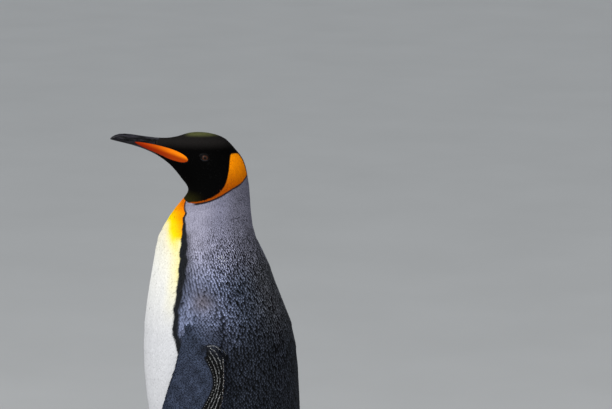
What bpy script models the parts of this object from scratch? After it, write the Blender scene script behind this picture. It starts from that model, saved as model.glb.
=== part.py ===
"""A life-size king penguin (Aptenodytes patagonicus), standing still with its head turned a little to its left.

The bird faces -Y, its left side is +X and it stands on z = 0. Trunk, neck, head and bill are one loft: stations
from the bill tip to the vent, each a plane section between a ventral and a dorsal point, parted by thin gaps. The
flippers, legs and tail are lofts of their own, cut back to the trunk, and each foot is a height field about its ball.
Sizes below are in millimetres, and MM turns them into Blender's metres.
"""

import math

import bmesh
import bpy
import numpy as np
from mathutils import Matrix, Vector

MM = 0.001
GAP = 0.3  # clearance between neighbouring solids

HEAD_TURN = math.radians(18.0)  # the head looks this far to the bird's left
TURN_AXIS_Y = -8.0  # the vertical axis of that turn runs up the middle of the neck

# Stations of the body, from the bill tip to the vent:
# (ventral y, ventral z, dorsal y, dorsal z, half width, share of the head's turn)
STATIONS = (
    (-184.0, 907.6, -183.6, 909.4, 1.2, 1.0),
    (-178.0, 905.8, -178.5, 913.6, 3.2, 1.0),
    (-166.0, 902.8, -167.0, 917.2, 4.9, 1.0),
    (-150.0, 898.8, -151.0, 916.6, 6.3, 1.0),
    (-132.0, 893.0, -134.0, 914.0, 8.0, 1.0),
    (-115.0, 885.6, -118.0, 912.0, 10.2, 1.0),
    (-99.0, 876.2, -103.0, 910.6, 12.8, 1.0),
    (-86.0, 865.6, -88.0, 910.6, 17.0, 1.0),
    (-75.5, 854.0, -72.0, 913.4, 21.5, 1.0),
    (-66.5, 842.0, -55.0, 918.6, 26.0, 1.0),
    (-60.0, 833.5, -36.0, 920.0, 29.5, 1.0),
    (-57.0, 827.6, -15.0, 917.2, 32.0, 1.0),
    (-56.6, 823.2, 5.0, 909.4, 33.6, 1.0),
    (-57.8, 819.4, 21.5, 892.4, 35.0, 1.0),
    (-60.0, 815.2, 34.5, 875.0, 36.8, 1.0),
    (-63.5, 810.4, 41.2, 853.0, 39.3, 1.0),
    (-69.5, 803.4, 45.0, 829.0, 43.0, 0.9),
    (-78.0, 792.6, 46.8, 806.0, 48.0, 0.7),
    (-88.5, 778.0, 48.5, 784.0, 55.0, 0.45),
    (-101.5, 757.0, 52.0, 757.0, 64.5, 0.2),
    (-109.6, 739.0, 59.5, 736.0, 73.0, 0.05),
    (-114.4, 713.0, 73.5, 709.0, 84.5, 0.0),
    (-120.0, 680.0, 84.5, 677.0, 95.5, 0.0),
    (-126.0, 642.0, 98.5, 641.0, 105.5, 0.0),
    (-131.0, 601.0, 114.5, 601.0, 113.5, 0.0),
    (-132.4, 556.0, 123.5, 556.0, 119.0, 0.0),
    (-130.2, 508.0, 127.0, 508.0, 122.5, 0.0),
    (-123.5, 457.0, 129.0, 457.0, 124.0, 0.0),
    (-114.0, 404.0, 130.5, 404.0, 124.0, 0.0),
    (-102.5, 350.0, 131.5, 350.0, 122.5, 0.0),
    (-90.5, 296.0, 131.0, 296.0, 119.5, 0.0),
    (-78.5, 244.0, 128.5, 244.0, 114.0, 0.0),
    (-65.5, 196.0, 124.0, 196.0, 105.5, 0.0),
    (-50.5, 151.0, 117.0, 151.0, 94.0, 0.0),
    (-32.5, 112.0, 107.0, 112.0, 76.5, 0.0),
    (-10.0, 82.0, 92.0, 82.0, 53.0, 0.0),
    (14.0, 66.0, 72.0, 66.0, 29.0, 0.0),
)
BILL_END, HEAD_END, NECK_END = 5.5, 15.0, 19.6  # where the loft is parted, as station numbers
BILL_RINGS, HEAD_RINGS, NECK_RINGS, TRUNK_RINGS = 10, 20, 6, 20
SKULL_SIDES, BODY_SIDES = 24, 32

# The bill's cutting edge, and the orange plate on each side of the lower mandible.
CUTTING_EDGE = ((-190.0, 909.0), (-172.0, 908.4), (-150.0, 907.2), (-128.0, 905.4), (-100.0, 901.0))
PLATE_FRONT, PLATE_BACK = (-144.0, 904.2), (-55.0, 876.5)
PLATE_HALF_WIDTH = 8.6
PLATE_SINK = 4.0  # depth of the plate under the surface of the bill

EYE_CENTRE, EYE_RADIUS = (25.8, -27.0, 882.0), 8.0

# Flipper: stations along its length from the shoulder, as (distance, reach to the leading edge, reach to the
# trailing edge, half thickness).
FLIPPER_STATIONS = (
    (-26.0, 24.0, 24.0, 9.0),
    (0.0, 32.0, 32.0, 9.8),
    (35.0, 38.0, 37.0, 8.8),
    (70.0, 42.5, 42.5, 7.6),
    (98.0, 44.5, 49.5, 6.8),
    (130.0, 44.5, 57.0, 6.0),
    (170.0, 41.0, 51.0, 5.2),
    (215.0, 35.5, 41.5, 4.4),
    (260.0, 30.0, 33.0, 3.6),
    (300.0, 23.5, 25.0, 2.9),
    (328.0, 15.5, 16.0, 2.3),
    (341.0, 8.5, 8.5, 1.8),
    (346.0, 3.0, 3.0, 1.4),
)
SHOULDER = (102.0, 5.0, 626.0)
FLARE_STOPS = (-26.0, 10.0, 60.0, 200.0)  # places along the flipper where it leans out by the next row's degrees
FLARE_DEGREES = (40.0, 26.0, 11.0, 9.0)
LEFT_SWEEP, RIGHT_SWEEP = math.radians(20.0), math.radians(15.0)  # how far forward each flipper's tip swings
ELBOW_AT, BEND_LENGTH = 88.0, 70.0
CHORD_TURN = math.radians(2.0)  # trailing edge out from the trunk
FLIPPER_RINGS, FLIPPER_SIDES = 17, 14

# Leg: stations from inside the trunk to the foot, as (y, z, half length, half width).
LEG_STATIONS = (
    (26.0, 165.0, 50.0, 36.0),
    (26.0, 128.0, 48.0, 35.0),
    (24.0, 98.0, 41.0, 31.0),
    (21.0, 74.0, 31.0, 25.0),
    (17.0, 54.0, 25.0, 20.5),
    (13.0, 38.0, 21.0, 17.0),
    (8.0, 22.0, 19.0, 15.0),
    (6.0, 8.0, 18.0, 14.0),
)
LEG_X = 50.0
LEG_SIDES = 16

# Foot: a height field about its ball. Toes are (angle from straight ahead towards the outside, length).
FOOT_BALL = (52.0, 2.0)
TOE_OUT = math.radians(9.0)
TOES = {"inner": (-21.0, 78.0), "middle": (-1.0, 96.0), "outer": (18.0, 86.0)}
HEEL_RADIUS, WEB_SHARE = 24.0, 0.85
TOE_HALF_WIDTH, TOE_HEIGHT, INSTEP_HEIGHT = 8.8, 11.0, 19.0
WEB_HEIGHT, WEB_LIFT = 5.0, 1.8
FOOT_SPOKES, FOOT_RINGS = 36, 5
CLAW_LENGTH, CLAW_RADIUS, CLAW_HEIGHT, CLAW_ARCH = 24.0, 3.7, 6.0, 2.6

# Tail: a flat wedge of stiff feathers, stations as (y, z, half width, half thickness).
TAIL_STATIONS = (
    (92.0, 140.0, 38.0, 19.0),
    (103.0, 100.0, 38.0, 15.0),
    (113.0, 66.0, 35.0, 11.0),
    (122.5, 34.0, 29.5, 7.0),
    (129.5, 10.0, 22.0, 4.6),
    (132.5, 0.0, 17.0, 3.4),
)
TAIL_SIDES = 16

COLOURS = {  # name: (red, green, blue, roughness), linear
    "back_plumage": (0.05, 0.058, 0.078, 0.7),
    "neck_plumage": (0.28, 0.28, 0.36, 0.7),
    "head_plumage": (0.008, 0.008, 0.008, 0.65),
    "tail_plumage": (0.02, 0.022, 0.028, 0.6),
    "foot_skin": (0.018, 0.018, 0.02, 0.55),
    "bill_horn": (0.012, 0.011, 0.014, 0.3),
    "bill_plate": (0.62, 0.16, 0.01, 0.35),
    "eye": (0.02, 0.009, 0.005, 0.05),
    "claw": (0.01, 0.01, 0.011, 0.35),
}


def clear_scene():
    for obj in list(bpy.data.objects):
        bpy.data.objects.remove(obj)


def make_material(name):
    red, green, blue, roughness = COLOURS[name]
    material = bpy.data.materials.new(name)
    material.use_nodes = True
    shader = material.node_tree.nodes["Principled BSDF"]
    shader.inputs["Base Color"].default_value = (red, green, blue, 1.0)
    shader.inputs["Roughness"].default_value = roughness
    material.diffuse_color = (red, green, blue, 1.0)
    return material


def spline(table, at):
    """Row of a table at a fractional row number, on a Catmull-Rom curve through the rows."""
    rows = np.asarray(table, float)
    last = len(rows) - 1
    at = min(max(at, 0.0), last)
    i = min(int(at), last - 1)
    t = at - i
    before, start, end, after = (rows[min(max(k, 0), last)] for k in (i - 1, i, i + 1, i + 2))
    return 0.5 * (
        2 * start
        + (end - before) * t
        + (2 * before - 5 * start + 4 * end - after) * t**2
        + (3 * start - before - 3 * end + after) * t**3
    )


def add_object(name, mesh):
    obj = bpy.data.objects.new(name, mesh)
    bpy.context.scene.collection.objects.link(obj)
    return obj


def loft(name, rings):
    """A closed object through rings of points in millimetres, with a flat cap on the first and the last."""
    bm = bmesh.new()
    loops = [[bm.verts.new(Vector(point) * MM) for point in ring] for ring in rings]
    for loop, following in zip(loops, loops[1:]):
        for k in range(len(loop)):
            n = (k + 1) % len(loop)
            bm.faces.new((loop[k], loop[n], following[n], following[k]))
    bm.faces.new(loops[0])
    bm.faces.new(loops[-1])
    bmesh.ops.recalc_face_normals(bm, faces=bm.faces)
    mesh = bpy.data.meshes.new(name)
    bm.to_mesh(mesh)
    bm.free()
    return add_object(name, mesh)


def boolean(target, other, operation):
    """Applies a Boolean to target and removes the other object."""
    modifier = target.modifiers.new(operation.lower(), "BOOLEAN")
    modifier.operation = operation
    modifier.solver = "EXACT"
    modifier.object = other
    bpy.context.view_layer.update()
    graph = bpy.context.evaluated_depsgraph_get()
    mesh = bpy.data.meshes.new_from_object(target.evaluated_get(graph))
    target.modifiers.clear()
    target.data = mesh
    bpy.data.objects.remove(other)
    return target


def body_ring(at, sides, grow=0.0):
    """Ring of the body's loft at a fractional station, in millimetres, with the head's turn in it."""
    ventral_y, ventral_z, dorsal_y, dorsal_z, half_width, turn = spline(STATIONS, at)
    ventral, dorsal = Vector((0, ventral_y, ventral_z)), Vector((0, dorsal_y, dorsal_z))
    middle, reach = (ventral + dorsal) / 2, (dorsal - ventral) / 2
    reach *= 1 + grow / reach.length
    rotation = Matrix.Rotation(turn * HEAD_TURN, 3, "Z")
    axis = Vector((0, TURN_AXIS_Y, 0))
    ring = []
    for k in range(sides):
        angle = 2 * math.pi * k / sides
        point = middle + reach * math.cos(angle)
        point.x = (half_width + grow) * math.sin(angle)
        ring.append(rotation @ (point - axis) + axis)
    return ring


def body_piece(name, start, end, rings, sides, grow=0.0):
    """Stretch of the body's loft between two fractional stations."""
    stops = np.linspace(start, end, rings)
    return loft(name, [body_ring(at, sides, grow) for at in stops])


def half_gap(at):
    """Share of a station that spans half the clearance there."""
    low, high = spline(STATIONS, at - 0.5), spline(STATIONS, at + 0.5)
    apart = (np.linalg.norm(high[:2] - low[:2]) + np.linalg.norm(high[2:4] - low[2:4])) / 2
    return GAP / apart


def prism(name, outline, reach=60.0):
    """Solid with this (y, z) outline, across the head from -reach to reach, turned with the head."""
    return turn_with_head(loft(name, [[(x, y, z) for y, z in outline] for x in (-reach, reach)]))


def turn_with_head(obj):
    axis = Matrix.Translation(Vector((0, TURN_AXIS_Y, 0)) * MM)
    obj.data.transform(axis @ Matrix.Rotation(HEAD_TURN, 4, "Z") @ axis.inverted())
    return obj


def edge_curve(offset, count=18):
    """Points (y, z) along the bill's cutting edge, raised by offset."""
    stops = np.linspace(0, len(CUTTING_EDGE) - 1, count)
    return [(y, z + offset) for y, z in (spline(CUTTING_EDGE, at) for at in stops)]


def half_width_at(y):
    """Half width of the bill or the face at a distance forward, at mid height."""
    middles = [((row[0] + row[2]) / 2, row[4]) for row in STATIONS[:13]]
    return float(np.interp(y, [m[0] for m in middles], [m[1] for m in middles]))


def plate_cutter(name, side, grow=0.0, count=22):
    """Curved slab whose cut with the face is one orange plate: a long drop, pointed in front, round behind."""
    front, back = np.array(PLATE_FRONT), np.array(PLATE_BACK)
    along = (back - front) / np.linalg.norm(back - front)
    across = np.array((-along[1], along[0]))
    rings = []
    for share in np.linspace(0.012, 0.994, count):
        half = PLATE_HALF_WIDTH * 1.57 * share**0.7 * math.sqrt(1 - share**3) + grow
        y, z = front + (back - front) * share
        inner = half_width_at(y) - PLATE_SINK - grow
        low, high = np.array((y, z)) - across * half, np.array((y, z)) + across * half
        rings.append([(side * x, *point) for x, point in ((inner, low), (inner, high), (60, high), (60, low))])
    return turn_with_head(loft(name, rings))


def eyeball(name, side, grow=0.0):
    mesh = bpy.data.meshes.new(name)
    bm = bmesh.new()
    bmesh.ops.create_uvsphere(bm, u_segments=16, v_segments=10, radius=(EYE_RADIUS + grow) * MM)
    bm.transform(Matrix.Translation(Vector((side * EYE_CENTRE[0], EYE_CENTRE[1], EYE_CENTRE[2])) * MM))
    bm.to_mesh(mesh)
    bm.free()
    return turn_with_head(add_object(name, mesh))


def build_head():
    """Head, upper and lower mandible, the orange plates and the eyes."""
    bill_end = BILL_END - half_gap(BILL_END)
    above = edge_curve(GAP / 2) + [(-90.0, 960.0), (-200.0, 960.0)]
    below = edge_curve(-GAP / 2) + [(-90.0, 840.0), (-200.0, 840.0)]
    maxilla = body_piece("maxilla", 0, bill_end, BILL_RINGS, SKULL_SIDES)
    boolean(maxilla, prism("upper_half", above), "INTERSECT")
    mandible = body_piece("mandible", 0, bill_end, BILL_RINGS, SKULL_SIDES)
    boolean(mandible, prism("lower_half", below), "INTERSECT")
    head_start, head_end = BILL_END + half_gap(BILL_END), HEAD_END - half_gap(HEAD_END)
    head = body_piece("head", head_start, head_end, HEAD_RINGS, SKULL_SIDES)
    plates, eyes = [], []
    for side, word in ((1, "left"), (-1, "right")):
        plate = body_piece(f"bill_plate_{word}", 0, head_end, BILL_RINGS + HEAD_RINGS, SKULL_SIDES)
        plates.append(boolean(plate, plate_cutter("plate_shape", side), "INTERSECT"))
        boolean(mandible, plate_cutter("plate_seat", side, GAP), "DIFFERENCE")
        boolean(maxilla, plate_cutter("plate_seat", side, GAP), "DIFFERENCE")
        boolean(head, plate_cutter("plate_seat", side, GAP), "DIFFERENCE")
        eyes.append(eyeball(f"eye_{word}", side))
        boolean(head, eyeball("eye_socket", side, GAP), "DIFFERENCE")
    return {"head_plumage": [head], "bill_horn": [maxilla, mandible], "bill_plate": plates, "eye": eyes}


def build_neck_and_trunk():
    neck = body_piece("neck", HEAD_END + half_gap(HEAD_END), NECK_END - half_gap(NECK_END), NECK_RINGS, SKULL_SIDES)
    return {"neck_plumage": [neck], "back_plumage": [trunk_solid("trunk")]}


def trunk_solid(name, grow=0.0):
    return body_piece(name, NECK_END + half_gap(NECK_END), len(STATIONS) - 1, TRUNK_RINGS, BODY_SIDES, grow)


def flipper_place(distance, sweep):
    """Centre and direction of the flipper at a distance from the shoulder: straight, then a smooth bend forward."""
    centre, step = Vector(SHOULDER), 4.0
    for run in np.arange(0, abs(distance), step):
        length = min(step, abs(distance) - run)
        centre += math.copysign(length, distance) * flipper_direction(math.copysign(run, distance), sweep)
    return centre, flipper_direction(distance, sweep)


def flipper_direction(distance, sweep):
    bend = min(max((distance - ELBOW_AT) / BEND_LENGTH + 0.5, 0), 1)
    bend = bend * bend * (3 - 2 * bend)
    outward = math.radians(float(np.interp(distance, FLARE_STOPS, FLARE_DEGREES)))
    return Vector((math.sin(outward), -math.sin(sweep * bend), -1)).normalized()


def flipper_ring(at, sweep):
    """Airfoil ring at a fractional station: a blunt leading edge, a thin trailing one."""
    distance, leading, trailing, half_thickness = spline(FLIPPER_STATIONS, at)
    centre, direction = flipper_place(distance, sweep)
    chord = Vector((math.sin(CHORD_TURN), math.cos(CHORD_TURN), 0))
    chord = (chord - chord.dot(direction) * direction).normalized()
    outward = chord.cross(direction)
    ring = []
    for k in range(FLIPPER_SIDES):
        angle = 2 * math.pi * k / FLIPPER_SIDES
        along = math.cos(angle)
        thickness = half_thickness * math.sin(angle) * (1 - 0.35 * along)
        reach = trailing if along > 0 else leading
        ring.append(centre + chord * reach * along + outward * thickness)
    return ring


def build_flippers():
    made = []
    last = len(FLIPPER_STATIONS) - 1
    for side, word, sweep in ((1, "left", LEFT_SWEEP), (-1, "right", RIGHT_SWEEP)):
        rings = [flipper_ring(at, sweep) for at in np.linspace(0, last, FLIPPER_RINGS)]
        rings = [[(side * x, y, z) for x, y, z in ring] for ring in rings]
        flipper = loft(f"flipper_{word}", rings)
        made.append(boolean(flipper, trunk_solid("trunk_room", GAP), "DIFFERENCE"))
    return {"back_plumage": made}


def toe_angle(name):
    return math.radians(TOES[name][0]) + TOE_OUT


def foot_reach(angle, grow=0.0):
    """How far the foot's outline lies from its ball: heel, toes, and the webs drawn in between them."""
    reach = HEEL_RADIUS
    span = [toe_angle("inner"), toe_angle("outer")]
    if span[0] <= angle <= span[1]:
        share = (angle - span[0]) / (span[1] - span[0])
        web = WEB_SHARE * (TOES["inner"][1] + (TOES["outer"][1] - TOES["inner"][1]) * share)
        reach = max(reach, web)
    for name, (_, length) in TOES.items():
        off = abs(angle - toe_angle(name))
        if off < math.pi / 2:
            beside = TOE_HALF_WIDTH / max(math.sin(off), 1e-6)
            reach = max(reach, min(length, beside))
    return reach + grow


def foot_height(x, y, grow=0.0):
    """Heights of the foot's underside and top at a place given from its ball, y forward."""
    toe = 0.0
    for name, (_, length) in TOES.items():
        angle = toe_angle(name)
        across = x * math.cos(angle) - y * math.sin(angle)
        along = x * math.sin(angle) + y * math.cos(angle)
        if along > 0:
            taper = 1 - 0.35 * along / length
            toe = max(toe, taper * math.exp(-((across / (0.82 * TOE_HALF_WIDTH)) ** 2)))
    instep = math.exp(-((math.hypot(x, y) / (1.15 * HEEL_RADIUS)) ** 4))
    top = WEB_HEIGHT + TOE_HEIGHT * toe * (1 - instep) + INSTEP_HEIGHT * instep
    lift = WEB_LIFT * max(1 - 1.4 * max(toe, instep), 0.0)
    return max(lift - grow, -grow), top + grow


def spoke_angles():
    """Directions of the foot's spokes, closer together over the toes than round the heel."""
    first, last = toe_angle("inner") - 0.32, toe_angle("outer") + 0.32
    fan = int(FOOT_SPOKES * 0.75)
    front = np.linspace(first, last, fan)
    back = np.linspace(last, first + 2 * math.pi, FOOT_SPOKES - fan + 2)[1:-1]
    return [*front, *back]


def foot_solid(name, side, grow=0.0):
    """Foot from two height fields over one fan of spokes, joined round the rim."""
    bm = bmesh.new()
    angles = spoke_angles()
    wrapped = [(angle + math.pi) % (2 * math.pi) - math.pi for angle in angles]
    reaches = [foot_reach(angle, grow) for angle in wrapped]

    def vertex(angle, radius, top):
        x, y = radius * math.sin(angle), radius * math.cos(angle)
        low, high = foot_height(x, y, grow)
        return bm.verts.new(Vector((side * (FOOT_BALL[0] + x), FOOT_BALL[1] - y, high if top else low)) * MM)

    rims = []
    for top in (False, True):
        middle, inner = vertex(0, 0, top), None
        for ring in range(1, FOOT_RINGS + 1):
            share = (ring / FOOT_RINGS) ** 0.8
            row = [vertex(angle, share * reach, top) for angle, reach in zip(angles, reaches)]
            for k in range(len(row)):
                n = (k + 1) % len(row)
                bm.faces.new((row[k], row[n], inner[n], inner[k]) if inner else (row[k], row[n], middle))
            inner = row
        rims.append(inner)
    for k in range(len(angles)):
        n = (k + 1) % len(angles)
        bm.faces.new((rims[0][k], rims[0][n], rims[1][n], rims[1][k]))
    bmesh.ops.recalc_face_normals(bm, faces=bm.faces)
    bmesh.ops.dissolve_limit(bm, angle_limit=math.radians(0.3), verts=bm.verts, edges=bm.edges)  # one flat sole
    mesh = bpy.data.meshes.new(name)
    bm.to_mesh(mesh)
    bm.free()
    return add_object(name, mesh)


def claw_rings(side, toe, grow=0.0):
    """A claw over the tip of a toe: a tapering ring that arches forward and down."""
    angle, length = toe_angle(toe), TOES[toe][1]
    forward = Vector((side * math.sin(angle), -math.cos(angle), 0))
    start = Vector((side * FOOT_BALL[0], FOOT_BALL[1], 0)) + forward * (length - 7.0)
    rings = []
    for share in np.linspace(0, 1, 6):
        radius = CLAW_RADIUS * (1 - 0.8 * share**1.4) + grow
        height = CLAW_HEIGHT + CLAW_ARCH * math.sin(1.35 * math.pi * share)
        centre = start + forward * (CLAW_LENGTH * share) + Vector((0, 0, height))
        sideways = forward.cross(Vector((0, 0, 1)))
        turns = (2 * math.pi * k / 8 for k in range(8))
        rings.append([centre + sideways * radius * math.cos(a) + Vector((0, 0, radius * math.sin(a))) for a in turns])
    return rings


def build_legs():
    legs, feet, claws = [], [], []
    for side, word in ((1, "left"), (-1, "right")):
        foot = foot_solid(f"foot_{word}", side)
        for toe in TOES:
            claws.append(loft(f"claw_{word}_{toe}", claw_rings(side, toe)))
            boolean(foot, loft("claw_seat", claw_rings(side, toe, GAP)), "DIFFERENCE")
        rings = []
        for at in np.linspace(0, len(LEG_STATIONS) - 1, 8):
            y, z, half_length, half_width = spline(LEG_STATIONS, at)
            turns = (2 * math.pi * k / LEG_SIDES for k in range(LEG_SIDES))
            rings.append([(side * (LEG_X + half_width * math.sin(a)), y + half_length * math.cos(a), z) for a in turns])
        leg = boolean(loft(f"leg_{word}", rings), trunk_solid("trunk_room", GAP), "DIFFERENCE")
        legs.append(boolean(leg, foot_solid("foot_room", side, GAP), "DIFFERENCE"))
        feet.append(foot)
    return {"back_plumage": legs, "foot_skin": feet, "claw": claws}


def build_tail():
    rings = []
    for at in np.linspace(0, len(TAIL_STATIONS) - 1, 8):
        y, z, half_width, half_thickness = spline(TAIL_STATIONS, at)
        turns = (2 * math.pi * k / TAIL_SIDES for k in range(TAIL_SIDES))
        rings.append([(half_width * math.sin(a), y + half_thickness * math.cos(a), max(z, 0.0)) for a in turns])
    tail = loft("tail", rings)
    return {"tail_plumage": [boolean(tail, trunk_solid("trunk_room", GAP), "DIFFERENCE")]}


def stand_on_origin(objects):
    """Moves every solid so that the origin is under the middle of the bird's box, on the floor."""
    corners = np.array([vertex.co for obj in objects for vertex in obj.data.vertices])
    low, high = corners.min(axis=0), corners.max(axis=0)
    shift = Matrix.Translation((-(low[0] + high[0]) / 2, -(low[1] + high[1]) / 2, -low[2]))
    for obj in objects:
        obj.data.transform(shift)


def main():
    clear_scene()
    materials = {name: make_material(name) for name in COLOURS}
    objects = []
    for group in (build_head(), build_neck_and_trunk(), build_flippers(), build_legs(), build_tail()):
        for material, members in group.items():
            for obj in members:
                obj.data.materials.clear()
                obj.data.materials.append(materials[material])
                obj.data.shade_smooth()
                obj.data.set_sharp_from_angle(angle=math.radians(38))
                objects.append(obj)
    stand_on_origin(objects)


main()
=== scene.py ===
"""Looks of the king penguin: one skin, a coat of solid feather vanes, bill, eyes, feet, claws and tail.

Lengths are in millimetres in the bird's own frame, and MM turns them into Blender's metres. The bird faces -Y
and its left is +X. The floor is z = 0. Places on the head are given with the head unturned.
"""

import math

import bmesh
import bpy
import numpy as np
from mathutils import Matrix, Vector, kdtree
from mathutils.bvhtree import BVHTree


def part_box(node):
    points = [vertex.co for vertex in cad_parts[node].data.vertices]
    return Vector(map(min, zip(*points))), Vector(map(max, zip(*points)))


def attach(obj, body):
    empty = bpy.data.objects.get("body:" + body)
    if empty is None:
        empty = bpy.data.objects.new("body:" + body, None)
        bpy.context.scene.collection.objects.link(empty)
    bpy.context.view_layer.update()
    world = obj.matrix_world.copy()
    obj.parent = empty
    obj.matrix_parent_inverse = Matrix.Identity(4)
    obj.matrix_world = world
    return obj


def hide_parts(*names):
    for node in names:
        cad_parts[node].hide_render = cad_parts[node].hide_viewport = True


MM = 0.001
rng = np.random.default_rng(20)

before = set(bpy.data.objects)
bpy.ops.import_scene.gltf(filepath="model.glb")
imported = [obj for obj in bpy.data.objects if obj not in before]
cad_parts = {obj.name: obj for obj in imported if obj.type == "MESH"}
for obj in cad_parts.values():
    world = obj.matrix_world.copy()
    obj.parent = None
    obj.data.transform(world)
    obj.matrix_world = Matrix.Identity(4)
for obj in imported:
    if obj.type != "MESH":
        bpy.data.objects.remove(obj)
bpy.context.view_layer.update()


# ---------------- the bird's frame

HEAD_TURN = math.radians(18.0)  # the head looks this far to the bird's left
TURN_AXIS = np.array((0.0, -8.0, 0.0))
BACK_REACH = 131.5  # how far the trunk's back lies behind the bird's axis

trunk_low, trunk_high = (np.array(corner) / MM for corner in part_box("trunk"))
ORIGIN = np.array(((trunk_low[0] + trunk_high[0]) / 2, trunk_high[1] - BACK_REACH, 0.0))


def turn_by(angle):
    """Matrix that turns points by this angle about an upright line."""
    c, s = math.cos(angle), math.sin(angle)
    return np.array(((c, -s, 0), (s, c, 0), (0, 0, 1)))


def to_head(points):
    """Points of the bird's frame in the unturned head's frame."""
    return (points - TURN_AXIS) @ turn_by(-HEAD_TURN).T + TURN_AXIS


def from_head(points):
    """Points of the unturned head's frame in the bird's frame."""
    return (np.asarray(points, float) - TURN_AXIS) @ turn_by(HEAD_TURN).T + TURN_AXIS


def place(points):
    """Points of the bird's frame in metres of the shared frame."""
    return (np.asarray(points, float) + ORIGIN) * MM


def vertex_points(mesh):
    """Vertices of a mesh in the bird's frame."""
    points = np.empty(len(mesh.vertices) * 3)
    mesh.vertices.foreach_get("co", points)
    return points.reshape(-1, 3) / MM - ORIGIN


def node_points(name):
    return vertex_points(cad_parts[name].data)


def ease(low, high, values):
    """Share that rises smoothly from 0 at low to 1 at high, which may be the smaller of the two."""
    t = np.clip((values - low) / (high - low), 0, 1)
    return t * t * (3 - 2 * t)


def unit(vectors):
    return vectors / np.maximum(np.linalg.norm(vectors, axis=-1, keepdims=True), 1e-9)


def flat_on(directions, normals):
    """Directions made to lie along the surface that has these normals."""
    return unit(directions - normals * (directions * normals).sum(axis=1, keepdims=True))


# ---------------- trunk measures, read from the frame

LEVELS = np.linspace(62, 830, 97)
LEVEL_REACH = 26  # vertices this near a level tell of it


def trunk_profile():
    """Front y, back y and half width of the neck and trunk at each level."""
    points = np.vstack([node_points(name) for name in ("trunk", "neck", "head")])
    spans = []
    for level in LEVELS:
        near = points[np.abs(points[:, 2] - level) < LEVEL_REACH]
        spans.append((near[:, 1].min(), near[:, 1].max(), np.abs(near[:, 0]).max()))
    return np.array(spans)


PROFILE = trunk_profile()


def body_angle(points):
    """Degrees round the body from the middle of the breast (0) to the middle of the back (180)."""
    front, back, half = (np.interp(points[:, 2], LEVELS, PROFILE[:, k]) for k in range(3))
    middle, reach = (front + back) / 2, (back - front) / 2
    return np.degrees(np.arctan2(np.abs(points[:, 0]) / half, (middle - points[:, 1]) / reach))


# ---------------- markings

# Where the white of the breast ends: (height, degrees round the body).
WHITE_EDGE = (
    (60, 150), (110, 128), (160, 112), (230, 104), (320, 100), (420, 96), (490, 89),
    (545, 79), (575, 73.5), (590, 71), (606, 69.7), (635, 70.2), (654, 71.6), (672, 73),
    (714, 73), (736, 72.6), (756, 72.8), (772, 69.2), (782, 65), (792, 58.5), (802, 53.2),
    (812, 48),
)
# Width of the black band behind that edge: (height, degrees).
BAND_WIDTH = (
    (60, 5), (300, 6), (480, 9), (560, 9), (600, 5.5), (625, 5.5), (650, 6), (687, 7.4),
    (718, 9.5), (750, 8.9), (772, 5), (787, 3.8), (805, 3.4),
)
# Lower edge of the black hood and its orange border, on the head's side: (y, z).
HOOD_LOW = (
    (-70, 813), (-56, 806.5), (-45, 806.5), (-30.6, 809.7), (-19, 813), (-9.2, 817), (0.6, 821.8),
    (10.4, 827.6), (18.5, 832.3), (28.3, 837), (34.7, 842), (41, 850), (60, 862),
)
# The orange patch behind the cheek: front edge from its top down and forward to the throat.
PATCH_FRONT = (
    (14.6, 884.5), (13.4, 877), (12.8, 869.4), (12, 861.6), (10.6, 853), (8.8, 845.7), (5.5, 836.8),
    (0.6, 829.6), (-5.9, 823.6), (-15.7, 817.6), (-27.3, 812.9), (-38.9, 809.8), (-52, 807.6),
)
PATCH_TOP = ((15.4, 885.6), (20.5, 886.4), (26.5, 884.6), (32.0, 879.5), (37.5, 872.0), (50.0, 868.0))
NAPE_STRIP = 5.0  # half width of the dark strip between the two patches
HOOD_FOOT, BILL_FOOT = 795, 850  # the hood and the bill lie above these heights

INK = {  # linear colours
    "hood": (0.0010, 0.0009, 0.0008),
    # painted sheen: olive along the top of the black crown
    "crown_sheen": (0.090, 0.094, 0.034),
    "forehead": (0.013, 0.0115, 0.0108),
    "patch_high": (0.97, 0.285, 0.001),
    "patch_low": (0.34, 0.060, 0.001),
    "throat": (0.022, 0.020, 0.004),
    "white": (0.79, 0.785, 0.76),
    # painted shade: the white front's colour lower down, greyer and bluer where less light reaches it
    "shaded_white": (0.575, 0.575, 0.60),
    "edge_cream": (0.84, 0.76, 0.38),
    "band": (0.010, 0.011, 0.013),
    "neck_pale": (0.315, 0.304, 0.385),
    "neck_mid": (0.208, 0.204, 0.274),
    "neck_back": (0.150, 0.146, 0.190),
    "mantle": (0.138, 0.159, 0.246),
    "shoulder": (0.112, 0.104, 0.130),
    "back": (0.030, 0.036, 0.053),
    "spine": (0.036, 0.037, 0.043),
    "rump": (0.0100, 0.0116, 0.0158),
    "flipper": (0.043, 0.055, 0.090),
    "flipper_dark": (0.027, 0.030, 0.042),
    "flipper_rim": (0.15, 0.095, 0.065),
    # painted highlight on the tops of the fold's ridges, and painted shade in its grooves
    "fold_ridge_highlight": (0.42, 0.43, 0.43),
    "fold_groove_shade": (0.003, 0.003, 0.003),
}
INK = {name: np.array(colour) for name, colour in INK.items()}

# The bib's colours by warmth, which rises up the breast and towards the black band:
# (warmth, red, green, blue).
BIB = (
    (660, 0.79, 0.775, 0.725), (700, 0.80, 0.77, 0.66), (722, 0.82, 0.76, 0.57), (734, 0.88, 0.78, 0.40),
    (743, 0.93, 0.74, 0.080), (750, 0.94, 0.70, 0.002), (761, 0.95, 0.60, 0.001), (774, 0.94, 0.40, 0.001),
    (785, 0.90, 0.27, 0.001), (802, 0.78, 0.150, 0.001),
)
WARMTH_PER_DEGREE, WARMTH_ANGLE = 1.35, 62.0  # warmth is height plus this slope from this angle
WARMTH_FLAT = 38.0  # nearer the breast's middle than this, warmth is the same all the way across

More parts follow.
